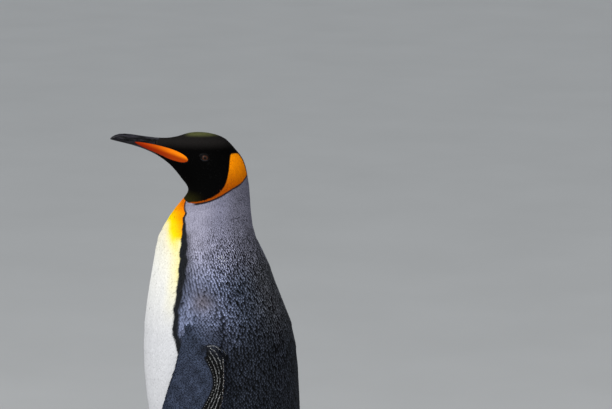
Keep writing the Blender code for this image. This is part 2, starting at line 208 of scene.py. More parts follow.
# Where things fade: (none of it at, all of it at). The markings, in degrees round the body or in height.
FADE = {
    "neck_side": (88, 123), "nape": (122, 152), "mantle_side": (103, 134), "spine_side": (130, 165),
    "elbow_low": (600, 620), "elbow_high": (650, 628), "elbow_side": (118, 104),
    "armpit_shade": (624, 602), "armpit_shade_side": (116, 102), "neck_foot": (660, 756),
    "lower_back": (662, 560), "lower_side": (92, 114), "lower_spine": (106, 152), "rump": (420, 250),
    "mottled": (790, 740), "speckled": (790, 705), "speckled_side": (90, 128),
    "shade_low": (610, 690), "shade_high": (778, 748), "flat_warmth": (766, 796),
    # By height: painted shade that greys the white front lower down, and the cream rim along its edge.
    "shaded_white": (710, 570), "shaded_white_lowest": (520, 300), "rim_wide": (600, 720), "rim_narrow": (650, 700),
    # The rim's end, and where painted light makes the middle of the breast paler.
    "rim_end": (754, 742), "lit_breast_side": (48, 18), "lit_breast_height": (560, 680),
    # Flippers: by height, by the way that the skin faces, by share of the chord, and by mm from the rear.
    "wing_low": (470, 380), "wing_root": (584, 638), "blade": (585, 560), "wing_end": (330, 305),
    "outside": (-0.15, 0.15), "leading": (0.16, 0.10), "rear_rim": (2.4, 1.2), "margin": (5.0, 3.4),
    # Hood: by mm inside its border, and by the head's height and y.
    "border": (-0.4, 0.4), "line": (-3.7, -2.4), "line_front": (-50, -42), "forehead": (892, 908),
    "crown_sheen": (912.5, 918), "crown_sheen_front": (-66, -50), "crown_sheen_back": (6, -8), "throat": (828, 810),
    "throat_front": (-24, -56), "patch": (822, 884),
}
NECK_SLANT, NECK_SLANT_FROM = 0.45, 105  # mm a degree, past this angle, that the mantle reaches up the neck
SPECKLE_SLANT, SPECKLE_LEVEL = 0.9, 110  # mm a degree that the speckles reach up, from this angle
SPOT_HEIGHT, SPOT_ANGLE, SPOT_REACH = 654, 98, (20, 12)  # brown spot on the shoulder, reach in mm and degrees
BAND_SHADE = 12  # degrees past the black band over which it shades off
ROOT_SLANT = 70  # the body's colours reach this much lower at a flipper's rear edge than at its front
ROOT_GAIN = 1.13  # how much brighter they are there than on the body
WING_TIP = 0.42  # how pale the tips of the flippers' feathers are


def along(table, column, values):
    """Reads a table of pairs, sorted by its first column, at these values."""
    rows = sorted(table)
    return np.interp(values, [row[0] for row in rows], [row[column] for row in rows])


def polygon_distance(outline, points):
    """Signed distance from 2D points to a closed outline, positive inside."""
    outline = np.asarray(outline, float)
    best = np.full(len(points), 1e9)
    inside = np.zeros(len(points), bool)
    for start, end in zip(outline, np.roll(outline, -1, axis=0)):
        edge = end - start
        offset = points - start
        share = np.clip((offset @ edge) / (edge @ edge), 0, 1)
        best = np.minimum(best, np.linalg.norm(offset - share[:, None] * edge, axis=1))
        crosses = (start[1] > points[:, 1]) != (end[1] > points[:, 1])
        rise = edge[1] if abs(edge[1]) > 1e-9 else 1e-9
        inside ^= crosses & (points[:, 0] < edge[0] * (points[:, 1] - start[1]) / rise + start[0])
    return np.where(inside, best, -best)


def fade(name, values):
    return ease(*FADE[name], values)


def mix(first, second, share):
    """Blend of two colours or lists of colours, by a share for each point."""
    return first + (second - first) * np.asarray(share)[:, None]


def cloud(points, size):
    """A soft mottle about zero that repeats nowhere: waves of about this size crossing one another."""
    waves = ((1.0, 0.3, 0.8), (-0.6, 1.0, 0.5), (0.4, -0.9, 1.1), (-0.8, -0.5, -0.9))
    total = sum(np.sin((points @ np.array(wave)) * 6.3 / size + 1.7 * k) for k, wave in enumerate(waves))
    return total / len(waves)


def paint_body(points, angle, height):
    """Colours of the neck and trunk, and how pale their feathers' tips are against their bases."""
    neck = mix(INK["neck_pale"], INK["neck_mid"], fade("neck_side", angle))
    neck = mix(neck, INK["neck_back"], fade("nape", angle))
    mantle = mix(INK["mantle"], INK["back"], fade("mantle_side", angle))
    mantle = mix(mantle, INK["spine"], fade("spine_side", angle))
    tall, wide = SPOT_REACH
    shoulder = np.exp(-(((height - SPOT_HEIGHT) / tall) ** 2) - (((angle - SPOT_ANGLE) / wide) ** 2))
    mantle = mix(mantle, INK["shoulder"], shoulder)
    # The mantle is made paler round the elbow, and darker in the armpit under it with painted shade.
    elbow = fade("elbow_high", height) * fade("elbow_low", height) * fade("elbow_side", angle)
    armpit_shade = fade("armpit_shade", height) * fade("armpit_shade_side", angle)
    mantle = mantle * (1 + 0.22 * elbow - 0.28 * armpit_shade)[:, None]
    slanted = height - NECK_SLANT * np.maximum(angle - NECK_SLANT_FROM, 0)
    colour = mix(mantle, neck, fade("neck_foot", slanted))
    lower = mix(INK["back"] * 0.36, INK["rump"], fade("lower_spine", angle))
    colour = mix(colour, lower, fade("lower_back", height) * fade("lower_side", angle))
    colour = colour * (1 + 0.3 * cloud(points, 34.0) * fade("mottled", height))[:, None]
    colour = mix(colour, INK["rump"], fade("rump", height))
    speckle = fade("speckled", height + SPECKLE_SLANT * (SPECKLE_LEVEL - np.clip(angle, 80, 160)))
    tip = (0.12 + 0.88 * speckle) * (0.5 + 0.5 * fade("speckled_side", angle)) * (1 - 0.4 * shoulder)

    edge = along(WHITE_EDGE, 1, height)
    band_end = edge + along(BAND_WIDTH, 1, height)
    shade = 0.6 * ease(band_end + BAND_SHADE, band_end, angle)
    shade = shade * fade("shade_low", height) * fade("shade_high", height)
    colour = mix(colour, INK["band"], shade)
    in_band = ease(band_end + 1.6, band_end - 1.0, angle)
    colour = mix(colour, INK["band"], in_band)
    tip = tip * (1 - 0.8 * in_band)

    slope = WARMTH_PER_DEGREE * (1 - 0.6 * fade("flat_warmth", height))
    warmth = height + slope * (np.maximum(angle, WARMTH_FLAT) - WARMTH_ANGLE)
    bib = np.column_stack([along(BIB, k, warmth) for k in (1, 2, 3)])
    # Painted shade: the white greys lower down the front.
    white = mix(bib, INK["shaded_white"], 0.84 * fade("shaded_white", height) + 0.25 * fade("shaded_white_lowest", height))
    rim = ease(edge - 17, edge - 3, angle) * fade("rim_wide", height) * 0.75
    rim = np.maximum(rim, ease(edge - 5, edge - 2.5, angle) * fade("rim_narrow", height))
    white = mix(white, INK["edge_cream"], rim * fade("rim_end", height))
    # Painted light: the middle of the breast, which gets less light from the lamps, is made paler.
    white = white * (1 + 0.08 * fade("lit_breast_side", angle) * fade("lit_breast_height", height))[:, None]
    in_white = ease(edge + 0.4, edge - 0.4, angle)
    return mix(colour, white, in_white), tip * (1 - in_white)


def paint_flipper(points, outer, rear, margin, front):
    """Colours of a flipper: slate outside with a rusty rear rim, white inside with dark edges, and painted
    shade in the fold's grooves.
    """
    slate = mix(INK["flipper"], INK["flipper_dark"], fade("wing_low", points[:, 2]))
    slate = slate * (0.85 + 0.35 * cloud(points, 26.0))[:, None]
    # Painted shade: near black among the fold's ridges.
    slate = mix(slate, INK["fold_groove_shade"], fold_shade(points))
    wing = mix(INK["white"], slate, np.maximum(np.maximum(outer, front), margin))
    return mix(wing, INK["flipper_rim"], 0.5 * rear)


def paint_hood(colour, tip, head, height):
    """Black hood with a painted olive sheen along its crown, an olive throat, the orange patches, and the
    dark line round them.
    """
    side, y, z = np.abs(head[:, 0]), head[:, 1], head[:, 2]
    near_head = height > HOOD_FOOT
    above = np.where(near_head, z - along(HOOD_LOW, 1, y), -50.0)
    line = fade("line", above) * fade("line_front", y)
    colour = mix(colour, INK["band"], line)
    hood = fade("border", above)
    black = mix(INK["hood"], INK["forehead"], fade("forehead", z))
    # Painted sheen: an olive band along the top of the crown.
    black = mix(black, INK["crown_sheen"], fade("crown_sheen", z) * fade("crown_sheen_front", y) * fade("crown_sheen_back", y))
    black = mix(black, INK["throat"], 0.8 * fade("throat", z) * fade("throat_front", y))
    colour = mix(colour, black, hood)
    outline = [*PATCH_TOP, (70.0, 862.0), *reversed(HOOD_LOW[1:]), *reversed(PATCH_FRONT)]
    inside = polygon_distance(outline, np.column_stack((y, z)))
    inside = np.minimum(inside, side - NAPE_STRIP)
    patch = fade("border", np.where(near_head, inside, -9.0))
    orange = mix(INK["patch_low"], INK["patch_high"], fade("patch", z))
    return mix(colour, orange, patch), tip * (1 - np.maximum(line, hood))


def plumage(points, normals, labels):
    """Colour of the feathers at these points of the bird, and how pale their tips are against their bases."""
    colour, tip = paint_body(points, body_angle(points), points[:, 2])
    for number, name in FLIPPERS:
        chosen = labels == number
        if not chosen.any():
            continue
        share, from_rear = flipper_place(name, points[chosen])
        height = points[chosen, 2]
        outer = fade("outside", normals[chosen, 0] * (1 if number == LEFT else -1))
        rear = fade("rear_rim", from_rear) * fade("blade", height)
        front = np.maximum(fade("leading", share), fade("wing_end", height))
        wing = paint_flipper(points[chosen], outer, rear, fade("margin", from_rear), front)
        merged = fade("wing_root", height + ROOT_SLANT * (np.clip(share, 0, 1) - 0.5))
        colour[chosen] = mix(wing, colour[chosen] * ROOT_GAIN, merged)
        tip[chosen] = WING_TIP * outer + (tip[chosen] - WING_TIP * outer) * merged
    on_leg = np.isin(labels, LEGS).astype(float)
    # The legs' front takes the white with its painted shade.
    leg = mix(INK["shaded_white"], INK["rump"], ease(-0.1, 0.35, normals[:, 1]))
    colour = mix(colour, leg, on_leg)
    colour = mix(colour, INK["rump"] * 0.7, labels == TAIL)
    tip = tip * (1 - on_leg) * (labels != TAIL)
    colour, tip = paint_hood(colour, tip, to_head(points), points[:, 2])
    return np.clip(colour, 0.001, 0.97), np.clip(tip, 0, 1)


# ---------------- meshes and materials


def add_object(name, data):
    obj = bpy.data.objects.new(name, data)
    bpy.context.scene.collection.objects.link(obj)
    return obj


def make_mesh(name, points, faces):
    """Smooth mesh object from points of the bird's frame and arrays of faces of equal corner counts."""
    mesh = bpy.data.meshes.new(name)
    corners = np.concatenate([np.asarray(group).ravel() for group in faces])
    sizes = np.concatenate([np.full(len(group), np.asarray(group).shape[1]) for group in faces])
    mesh.vertices.add(len(points))
    mesh.vertices.foreach_set("co", place(points).astype(np.float32).ravel())
    mesh.loops.add(len(corners))
    mesh.loops.foreach_set("vertex_index", corners.astype(np.int32))
    mesh.polygons.add(len(sizes))
    starts = np.concatenate(([0], np.cumsum(sizes)[:-1]))
    mesh.polygons.foreach_set("loop_start", starts.astype(np.int32))
    mesh.update(calc_edges=True)
    mesh.validate()
    mesh.shade_smooth()
    return add_object(name, mesh)


def set_plume(mesh, colours):
    """Paints the vertices. The materials read this paint by its name, plume."""
    attribute = mesh.attributes.new("plume", "FLOAT_COLOR", "POINT")
    full = np.ones((len(colours), 4), np.float32)
    full[:, :3] = colours
    attribute.data.foreach_set("color", full.ravel())


def new_material(name):
    """A new material with its links, nodes and shader."""
    material = bpy.data.materials.new(name)
    material.use_nodes = True
    nodes = material.node_tree.nodes
    return material, material.node_tree.links, nodes, nodes["Principled BSDF"]


def set_inputs(node, values):
    for name, value in values.items():
        node.inputs[name].default_value = value


def add_noise(links, nodes, scale, detail, stretch=(1, 1, 1)):
    where = nodes.new("ShaderNodeTexCoord")
    mapping = nodes.new("ShaderNodeMapping")
    set_inputs(mapping, {"Scale": stretch})
    links.new(where.outputs["Object"], mapping.inputs["Vector"])
    noise = nodes.new("ShaderNodeTexNoise")
    set_inputs(noise, {"Scale": scale, "Detail": detail})
    links.new(mapping.outputs["Vector"], noise.inputs["Vector"])
    return noise


def add_range(links, nodes, noise, low, high, target):
    """Leads the noise, brought between low and high, to a socket."""
    span = nodes.new("ShaderNodeMapRange")
    set_inputs(span, {"To Min": low, "To Max": high})
    links.new(noise.outputs["Fac"], span.inputs["Value"])
    links.new(span.outputs["Result"], target)


def add_paint(links, nodes, noise, low, high, shader):
    """Gives the shader the vertices' paint, made darker and paler by the noise."""
    paint = nodes.new("ShaderNodeAttribute")
    paint.attribute_name = "plume"
    blend = nodes.new("ShaderNodeVectorMath")
    blend.operation = "SCALE"
    links.new(paint.outputs["Color"], blend.inputs[0])
    add_range(links, nodes, noise, low, high, blend.inputs["Scale"])
    links.new(blend.outputs["Vector"], shader.inputs["Base Color"])


def add_ramp(links, nodes, noise, stops, shader):
    """Gives the shader the noise as a blend of two colours, each given with its place."""
    ramp = nodes.new("ShaderNodeValToRGB")
    for element, (position, colour) in zip(ramp.color_ramp.elements, stops):
        element.position = position
        element.color = (*np.clip(colour, 0, 1), 1)
    links.new(noise.outputs["Fac"], ramp.inputs["Fac"])
    links.new(ramp.outputs["Color"], shader.inputs["Base Color"])


def add_bump(links, nodes, noise, strength, distance, shader):
    bump = nodes.new("ShaderNodeBump")
    set_inputs(bump, {"Strength": strength, "Distance": distance})
    links.new(noise.outputs["Fac"], bump.inputs["Height"])
    links.new(bump.outputs["Normal"], shader.inputs["Normal"])


def plumage_material(name, roughness, gloss, mottle):
    """Feather keratin: painted colour with a fine mottle, and barbs as a bump down the feathers."""
    material, links, nodes, shader = new_material(name)
    noise = add_noise(links, nodes, 1500.0, 2.0, (1.0, 1.0, 0.22))
    add_paint(links, nodes, noise, 1 - mottle, 1 + mottle, shader)
    add_range(links, nodes, noise, roughness - 0.08, roughness + 0.08, shader.inputs["Roughness"])
    set_inputs(shader, {"Specular IOR Level": gloss})
    add_bump(links, nodes, noise, 0.35, 0.0002, shader)
    return material


# ---------------- skin

FLESH = ("head", "neck", "trunk", "flipper_left", "flipper_right", "leg_left", "leg_right", "tail")
HEAD, TRUNK, LEFT, RIGHT, TAIL = 0, 2, 3, 4, 7  # places in FLESH
BODY, WINGS, LEGS = (1, 2), (LEFT, RIGHT), (5, 6)
FLIPPERS = ((LEFT, "flipper_left"), (RIGHT, "flipper_right"))
BLADE_TOP = 590.0  # the flippers' free blades lie below this height
# These solids close the seats that the CAD cuts in the flesh.
CORE = ("eye_left", "eye_right", "bill_plate_left", "bill_plate_right", "maxilla", "mandible")
VOXEL = 2.3
SKIN_TRIANGLES = 190000
SPREAD_ROUNDS, MELT_ROUNDS = 16, 420  # how far melting reaches from a flipper's root, and how smooth it gets
MELT_FOOT = 545  # no melting starts below this height
BILL_ROOT = -101.0  # y at which the feathers end and the bill begins
FADE |= {
    # Depth of the coat, by height and by the head's y.
    "head_depth": (842, 800), "neck_depth": (780, 690), "wing_depth": (580, 640),
    "face_depth": (0, -50), "root_depth": (-84, -104),
    # How far down the flippers melt into the trunk, and how far up their edges are drawn out.
    "melted": (570, 594), "drawn_out": (584, 566),
}


def joined_copy(names):
    """One mesh object holding copies of these CAD nodes."""
    bm = bmesh.new()
    for name in names:
        bm.from_mesh(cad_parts[name].data)
    mesh = bpy.data.meshes.new("flesh")
    bm.to_mesh(mesh)
    bm.free()
    return add_object("flesh", mesh)


def evaluated_mesh(obj):
    """Mesh of the object with its modifiers applied, and the object gone."""
    bpy.context.view_layer.update()
    graph = bpy.context.evaluated_depsgraph_get()
    mesh = bpy.data.meshes.new_from_object(obj.evaluated_get(graph))
    bpy.data.objects.remove(obj)
    return mesh


def remeshed(obj, voxel):
    modifier = obj.modifiers.new("voxels", "REMESH")
    modifier.mode = "VOXEL"
    modifier.voxel_size = voxel * MM
    return evaluated_mesh(obj)


def mesh_arrays(mesh):
    """Vertices in the bird's frame, edges and triangles of a mesh."""
    edges = np.empty(len(mesh.edges) * 2, np.int32)
    mesh.edges.foreach_get("vertices", edges)
    mesh.calc_loop_triangles()
    triangles = np.empty(len(mesh.loop_triangles) * 3, np.int32)
    mesh.loop_triangles.foreach_get("vertices", triangles)
    return vertex_points(mesh), edges.reshape(-1, 2), triangles.reshape(-1, 3)


def neighbour_mean(values, edges):
    """Mean of each vertex's neighbours."""
    count = len(values)
    degree = np.maximum(np.bincount(edges.ravel(), minlength=count), 1)
    start, end = edges.T
    total = [
        np.bincount(start, column[end], count) + np.bincount(end, column[start], count) for column in values.T
    ]
    return np.column_stack(total) / degree[:, None]


def relax(points, edges, weight, rounds, strength=0.55):
    """Taubin smoothing: evens out facets without shrinking, by a weight for each point."""
    for turn in range(rounds * 2):
        factor = strength if turn % 2 == 0 else -(strength + 0.02)
        points = points + (neighbour_mean(points, edges) - points) * (factor * weight)[:, None]
    return points


def vertex_normals(points, triangles):
    a, b, c = (points[triangles[:, k]] for k in range(3))
    faces = np.cross(b - a, c - a)
    normals = np.zeros_like(points)
    for k in range(3):
        for axis in range(3):
            normals[:, axis] += np.bincount(triangles[:, k], faces[:, axis], len(points))
    return unit(normals)


def grow_tree(points):
    tree = kdtree.KDTree(len(points))
    for index, point in enumerate(points):
        tree.insert(point, index)
    tree.balance()
    return tree


def scatter_on(points, triangles, weights, count):
    """Random places on triangles: points, the triangles they lie on, and shares of the corners."""
    chosen = rng.choice(len(triangles), count, p=weights / weights.sum())
    r1, r2 = np.sqrt(rng.random(count))[:, None], rng.random(count)[:, None]
    shares = np.hstack((1 - r1, r1 * (1 - r2), r1 * r2))
    return np.einsum("nk,nkd->nd", shares, points[triangles[chosen]]), chosen, shares


def triangle_areas(points, triangles):
    a, b, c = (points[triangles[:, k]] for k in range(3))
    return np.linalg.norm(np.cross(b - a, c - a), axis=1) / 2


def nearest_flesh(points):
    """For each point, the place in FLESH of the node that it lies on."""
    samples, labels = [], []
    for number, name in enumerate(FLESH):
        own, _, triangles = mesh_arrays(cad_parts[name].data)
        area = triangle_areas(own, triangles)
        count = int(area.sum() / 14) + 50
        samples.append(scatter_on(own, triangles, area, count)[0])
        labels.append(np.full(count, number))
    tree, labels = grow_tree(np.vstack(samples)), np.concatenate(labels)
    return labels[[tree.find(point)[1] for point in points]]


def flipper_line(name):
    """Leading y, trailing y and middle x of a flipper, level by level."""
    points, edges, _ = mesh_arrays(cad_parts[name].data)
    levels = np.linspace(points[:, 2].min() + 2, points[:, 2].max() - 6, 120)
    rows = []
    for level in levels:
        start, end = points[edges[:, 0]], points[edges[:, 1]]
        crosses = (start[:, 2] - level) * (end[:, 2] - level) < 0
        start, end = start[crosses], end[crosses]
        cut = start + (end - start) * ((level - start[:, 2]) / (end[:, 2] - start[:, 2]))[:, None]
        rows.append((cut[:, 1].min(), cut[:, 1].max(), (cut[:, 0].min() + cut[:, 0].max()) / 2))
    return levels, np.array(rows)


FLIPPER_LINES = {name: flipper_line(name) for name in ("flipper_left", "flipper_right")}


def flipper_place(name, points):
    """These points' share across a flipper's chord (0 leading, 1 trailing), and mm to its rear edge."""
    levels, rows = FLIPPER_LINES[name]
    front = np.interp(points[:, 2], levels, rows[:, 0])
    rear = np.interp(points[:, 2], levels, rows[:, 1])
    return (points[:, 1] - front) / np.maximum(rear - front, 1), rear - points[:, 1]


def coat_depth(points, labels):
    """Depth of the coat over the skin."""
    head, height = to_head(points), points[:, 2]
    depth = 0.85 + 0.45 * fade("head_depth", height) + 0.6 * fade("neck_depth", height)
    depth = depth - 0.3 * fade("face_depth", head[:, 1]) * fade("face_end", height)
    depth = depth * (1 - 0.75 * fade("root_depth", head[:, 1]) * (height > BILL_FOOT))
    depth = np.where(np.isin(labels, WINGS), 0.8 + 1.0 * fade("wing_depth", height), depth)
    return np.where(np.isin(labels, (*LEGS, TAIL)), 1.5, depth)


def melt_shoulders(points, edges, labels):
    """Melts the root of each flipper into the trunk, so that no crease shows above its fold."""
    weight = (np.isin(labels, WINGS) & (points[:, 2] > MELT_FOOT)).astype(float)
    for _ in range(SPREAD_ROUNDS):
        weight = np.maximum(weight, 0.94 * neighbour_mean(weight[:, None], edges)[:, 0])
    weight = weight * fade("melted", points[:, 2])
    near = edges[(weight[edges] > 0.01).any(axis=1)]
    members, near = np.unique(near, return_inverse=True)
    near = near.reshape(-1, 2)
    part, share = points[members], np.minimum(weight[members] * 1.3, 1)
    share = share * (weight[members] > 0.01)
    for _ in range(MELT_ROUNDS):
        part = part + (neighbour_mean(part, near) - part) * (0.7 * share)[:, None]
    points = points.copy()
    points[members] = part
    return points


def tuck_core(points):
    """Draws the skin in front of the bill's root into a blunt core that the bill hides."""
    head = to_head(points)
    start, axis_z = BILL_ROOT - 5.5, 896.0
    past = np.where(points[:, 2] > BILL_FOOT, np.maximum(start - head[:, 1], 0), 0)
    shrink = 1 - 0.8 * ease(0, 12, past)
    head[:, 0] *= shrink
    head[:, 2] = np.where(past > 0, axis_z + (head[:, 2] - axis_z) * shrink, head[:, 2])
    head[:, 1] = np.where(past > 0, start - 9 * (1 - np.exp(-past / 9)), head[:, 1])
    return from_head(head)


EDGE_MARGIN, EDGE_TOP = 0.9, 598  # how far inside the trailing edge the skin ends, and up to which height


def reach_edges(points, labels):
    """Draws each flipper's skin out to its trailing edge, which the voxels round off."""
    points = points.copy()
    for number, name in FLIPPERS:
        chosen = np.flatnonzero((labels == number) & (points[:, 2] < EDGE_TOP + 2))
        own = points[chosen]
        levels, rows = FLIPPER_LINES[name]
        steps = np.arange(own[:, 2].min() + 3, EDGE_TOP, 4)
        edge = np.array([own[np.abs(own[:, 2] - step) < 4, 1].max() for step in steps])
        edge = np.interp(own[:, 2], steps, edge)
        middle = np.interp(own[:, 2], levels, (rows[:, 0] + rows[:, 1]) / 2)
        rear = np.interp(own[:, 2], levels, rows[:, 1])
        share = np.clip((own[:, 1] - middle) / (edge - middle), 0, 1)
        points[chosen, 1] += (rear - EDGE_MARGIN - edge) * share**2 * fade("drawn_out", own[:, 2])
    return points


def build_skin():
    """The one skin, inside the solids by the coat's depth: points, triangles, normals and places in FLESH."""
    mesh = remeshed(joined_copy(FLESH + CORE), VOXEL)
    points, edges, triangles = mesh_arrays(mesh)
    labels = nearest_flesh(points)
    points = relax(points, edges, np.where(np.isin(labels, (LEFT, RIGHT, TAIL)), 0.4, 1.0), 36)
    points = melt_shoulders(points, edges, labels)
    normals = vertex_normals(points, triangles)
    for _ in range(5):
        normals = unit(normals + neighbour_mean(normals, edges))
    points = tuck_core(points - normals * (coat_depth(points, labels) + 0.15)[:, None])
    return reach_edges(points, labels), triangles, normals, labels


def skin_object(points, triangles, normals, labels):
    skin = make_mesh("skin", points, [triangles])
    colour, tip = plumage(points, normals, labels)
    set_plume(skin.data, colour * (0.9 - 0.7 * tip)[:, None])
    modifier = skin.modifiers.new("thinned", "DECIMATE")
    modifier.ratio = min(1.0, SKIN_TRIANGLES / len(triangles))
    mesh = evaluated_mesh(skin)
    mesh.shade_smooth()
    mesh.materials.append(plumage_material("skin_and_down", 0.7, 0.08, 0.2))
    skin = add_object("skin", mesh)
    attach(skin, "root")
    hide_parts(*FLESH)


# ---------------- the lie and spacing of the feathers

# The lie of the coat on the head, from its side: (y, z, degrees that the feathers point below straight back).
LIE = (
    (-100, 895, 8), (-60, 900, 4), (-30, 905, 12), (0, 895, 42), (30, 880, 70),
    (-75, 870, 22), (-50, 855, 40), (-20, 865, 42), (-45, 830, 66), (20, 850, 74),
    (0, 820, 82), (-50, 800, 100), (0, 780, 88),
)
LIE_REACH = 14.0

FADE |= {
    # Lie of the coat, by height, by degrees round the body, and by mm from a flipper's rear edge.
    "falls": (800, 770), "under": (200, 90), "under_side": (110, 60), "backward": (80, 130),
    "outward": (520, 200), "slant": (800, 740), "slant_front": (75, 100), "slant_back": (165, 140),
    "edge": (14, 5), "edge_top": (600, 580),
    # Spacing of the feathers, by height and by the head's y.
    "head_pitch": (838, 806), "neck_pitch": (800, 705), "back_pitch": (735, 640), "wing_pitch": (570, 630),
    "face_pitch": (-20, -60), "face_end": (815, 835),
}


def follow(line, places, at):
    """Points of a line, given its points' places along it, at these places."""
    return np.column_stack([np.interp(at, places, column) for column in line.T])


def run_down(name, y, height):
    """Which way a line down a flipper runs at these heights, from the line's y at the flipper's levels."""
    levels, rows = FLIPPER_LINES[name]
    run = unit(-np.gradient(np.column_stack((rows[:, 2], y, levels)), axis=0))
    return follow(run, levels, height)


def lie_of_coat(points, normals, labels):
    """Unit directions in which the feathers point, along the surface."""
    head, height, angle = to_head(points), points[:, 2], body_angle(points)
    total, weights = np.zeros(len(points)), np.zeros(len(points))
    for y, z, fall in LIE:
        weight = np.exp(-((head[:, 1] - y) ** 2 + (head[:, 2] - z) ** 2) / (2 * LIE_REACH**2)) + 1e-9
        total += weight * fall
        weights += weight
    fall = np.radians(total / weights)
    direction = np.column_stack((np.zeros(len(points)), np.cos(fall), -np.sin(fall))) @ turn_by(HEAD_TURN).T
    direction = mix(direction, np.array((0.0, 0.0, -1.0)), fade("falls", height))
    on_trunk = (labels == TRUNK).astype(float)
    under = fade("under_side", angle) * fade("under", height)
    direction[:, 1] += 0.8 * under * on_trunk + 0.25 * fade("backward", angle) * on_trunk
    direction[:, 0] += 0.12 * np.clip(points[:, 0] / 30, -1, 1) * fade("outward", height) * on_trunk
    slant = fade("slant_front", angle) * fade("slant_back", angle)
    direction[:, 1] += 0.28 * slant * fade("slant", height) * on_trunk
    for number, name in FLIPPERS:
        chosen = labels == number
        rows = FLIPPER_LINES[name][1]
        from_rear = flipper_place(name, points[chosen])[1]
        down = run_down(name, (rows[:, 0] + rows[:, 1]) / 2, height[chosen])
        beside = run_down(name, rows[:, 1], height[chosen])
        beside[:, 1] -= 0.16
        near = fade("edge", from_rear) * fade("edge_top", height[chosen])
        direction[chosen] = mix(down + np.array((0.0, 0.25, 0.0)), beside, near)
    return flat_on(direction, normals)


def feather_pitch(points, labels):
    """Spacing of the feathers' roots."""
    head, height = to_head(points), points[:, 2]
    pitch = 1.72 + 0.55 * fade("head_pitch", height) + 1.1 * fade("neck_pitch", height)
    pitch = pitch - 0.3 * fade("face_pitch", head[:, 1]) * fade("face_end", height)
    pitch = pitch + 1.15 * fade("back_pitch", height)
    border = np.abs(head[:, 2] - along(HOOD_LOW, 1, head[:, 1]))
    pitch = np.where((height > HOOD_FOOT) & (border < 9), np.minimum(pitch, 1.45 + 0.05 * border), pitch)
    pitch = np.where(np.isin(labels, WINGS), 2.35 + 0.9 * fade("wing_pitch", height), pitch)
    return np.where(np.isin(labels, LEGS), 3.2, pitch)


# Where the outermost and innermost ridges of the fold behind the flipper's elbow run: (y, z).
FOLD_OUTER = (
    (12, 584), (21, 588.5), (30, 587), (39, 578), (45, 564.7), (48.7, 551.4), (49.5, 538),
    (49.5, 523), (48.7, 510), (45.7, 496.6), (39, 483.4), (31, 470), (23, 458),
)
FOLD_INNER = (
    (12, 583), (12.5, 579), (14.5, 575), (18, 567), (22.7, 559), (29.4, 547.7), (33.6, 534.4),
    (33.6, 523), (28.4, 509), (20, 492), (11, 474), (4, 460),
)
FOLD_ROWS, FOLD_STEP = 5, 2.4  # number of ridges, and the step between a ridge's feathers
FOLD_MARGIN = 2.6  # the ridges stay this far inside the flipper's trailing edge
FOLD_LOW, FOLD_HIGH = 455, 605  # the fold's painted shade lies on the flipper between these heights
FOLD_NODE, FOLD_HALO = np.array((12.0, 583.0)), 7.0  # where the ridges meet, and the painted shade round it


def places_along(line):
    """How far along a line each of its points lies."""
    return np.concatenate(([0], np.cumsum(np.linalg.norm(np.diff(line, axis=0), axis=1))))


def even_path(line, count):
    """Points spaced evenly along a flat line, with its corners rounded."""
    places = places_along(line)
    path = follow(line, places, np.linspace(0, places[-1], count))
    for _ in range(12):
        path[1:-1] = (path[:-2] + 2 * path[1:-1] + path[2:]) / 4
    return path


def fold_paths():
    """Ridges of the fold, outermost first: flat (y, z) paths, the ways they run, and their strength."""
    outer, inner = even_path(np.array(FOLD_OUTER), 200), even_path(np.array(FOLD_INNER), 200)
    paths = []
    for row in range(FOLD_ROWS):
        line = outer + (inner - outer) * row / (FOLD_ROWS - 1)
        length = np.linalg.norm(np.diff(line, axis=0), axis=1).sum()
        flat = even_path(line[4 + 5 * row :], int(length / FOLD_STEP))
        strength = np.minimum(1.0, (1 - np.linspace(0, 1, len(flat))) / 0.15) * (1 - 0.1 * row)
        paths.append((flat, unit(np.gradient(flat, axis=0)), strength))
    return paths


FOLD_PATHS = fold_paths()


def fold_shade(points):
    """How much painted shade the fold puts on the flipper's outer face: 1 among its ridges, 0 away from it.
    """
    ridges = np.vstack([path[0] for path in FOLD_PATHS])
    tree = grow_tree(np.column_stack((np.zeros(len(ridges)), ridges)))
    shade = np.zeros(len(points))
    near = np.flatnonzero((points[:, 2] > FOLD_LOW) & (points[:, 2] < FOLD_HIGH))
    gap = np.array([tree.find((0, y, z))[2] for y, z in points[near, 1:]])
    halo = np.linalg.norm(points[near, 1:] - FOLD_NODE, axis=1)
    if len(near):
        round_node = ease(FOLD_HALO + 3, FOLD_HALO - 5, halo)
        shade[near] = np.maximum(ease(4.6, 2.4, gap), 0.7 * round_node)
        shade[near] *= ease(FOLD_LOW, FOLD_LOW + 15, points[near, 2])
    return shade


def fold_roots(tree):
    """Roots along the ridges of the fold behind each elbow, the ways that they run, and their strength."""
    roots, runs, strengths = [], [], []
    for side, name in ((1, "flipper_left"), (-1, "flipper_right")):
        levels, rows = FLIPPER_LINES[name]
        for flat, run, strength in FOLD_PATHS:
            rear = np.interp(flat[:, 1], levels, rows[:, 1])
            kept_in = np.minimum(flat[:, 0], rear - FOLD_MARGIN)
            for y, z, (run_y, run_z), share in zip(kept_in, flat[:, 1], run, strength):
                hit = tree.ray_cast(Vector((side * 260, y, z)), Vector((-side, 0, 0)))[0]
                if hit is not None:
                    roots.append(hit)
                    runs.append((0.0, run_y, run_z))
                    strengths.append(share)
    return np.array(roots), np.array(runs), np.array(strengths)


BARE_RIM, SHORT_RIM = 1.6, 5.0  # bare skin, then short feathers, this near the blades' trailing edges
RAYS, TOP_ROW, BOTTOM_ROW = 160, 813.0, 66.0  # rays that find each row, and the rows' heights
ROWS_ON_WING = 598  # the body's rows run on over the flippers' roots above this height
ACROSS, DOWN, SHIFT = 1.20, 0.62, 0.46  # step along a row, step to the next, and its shift back, in spacings


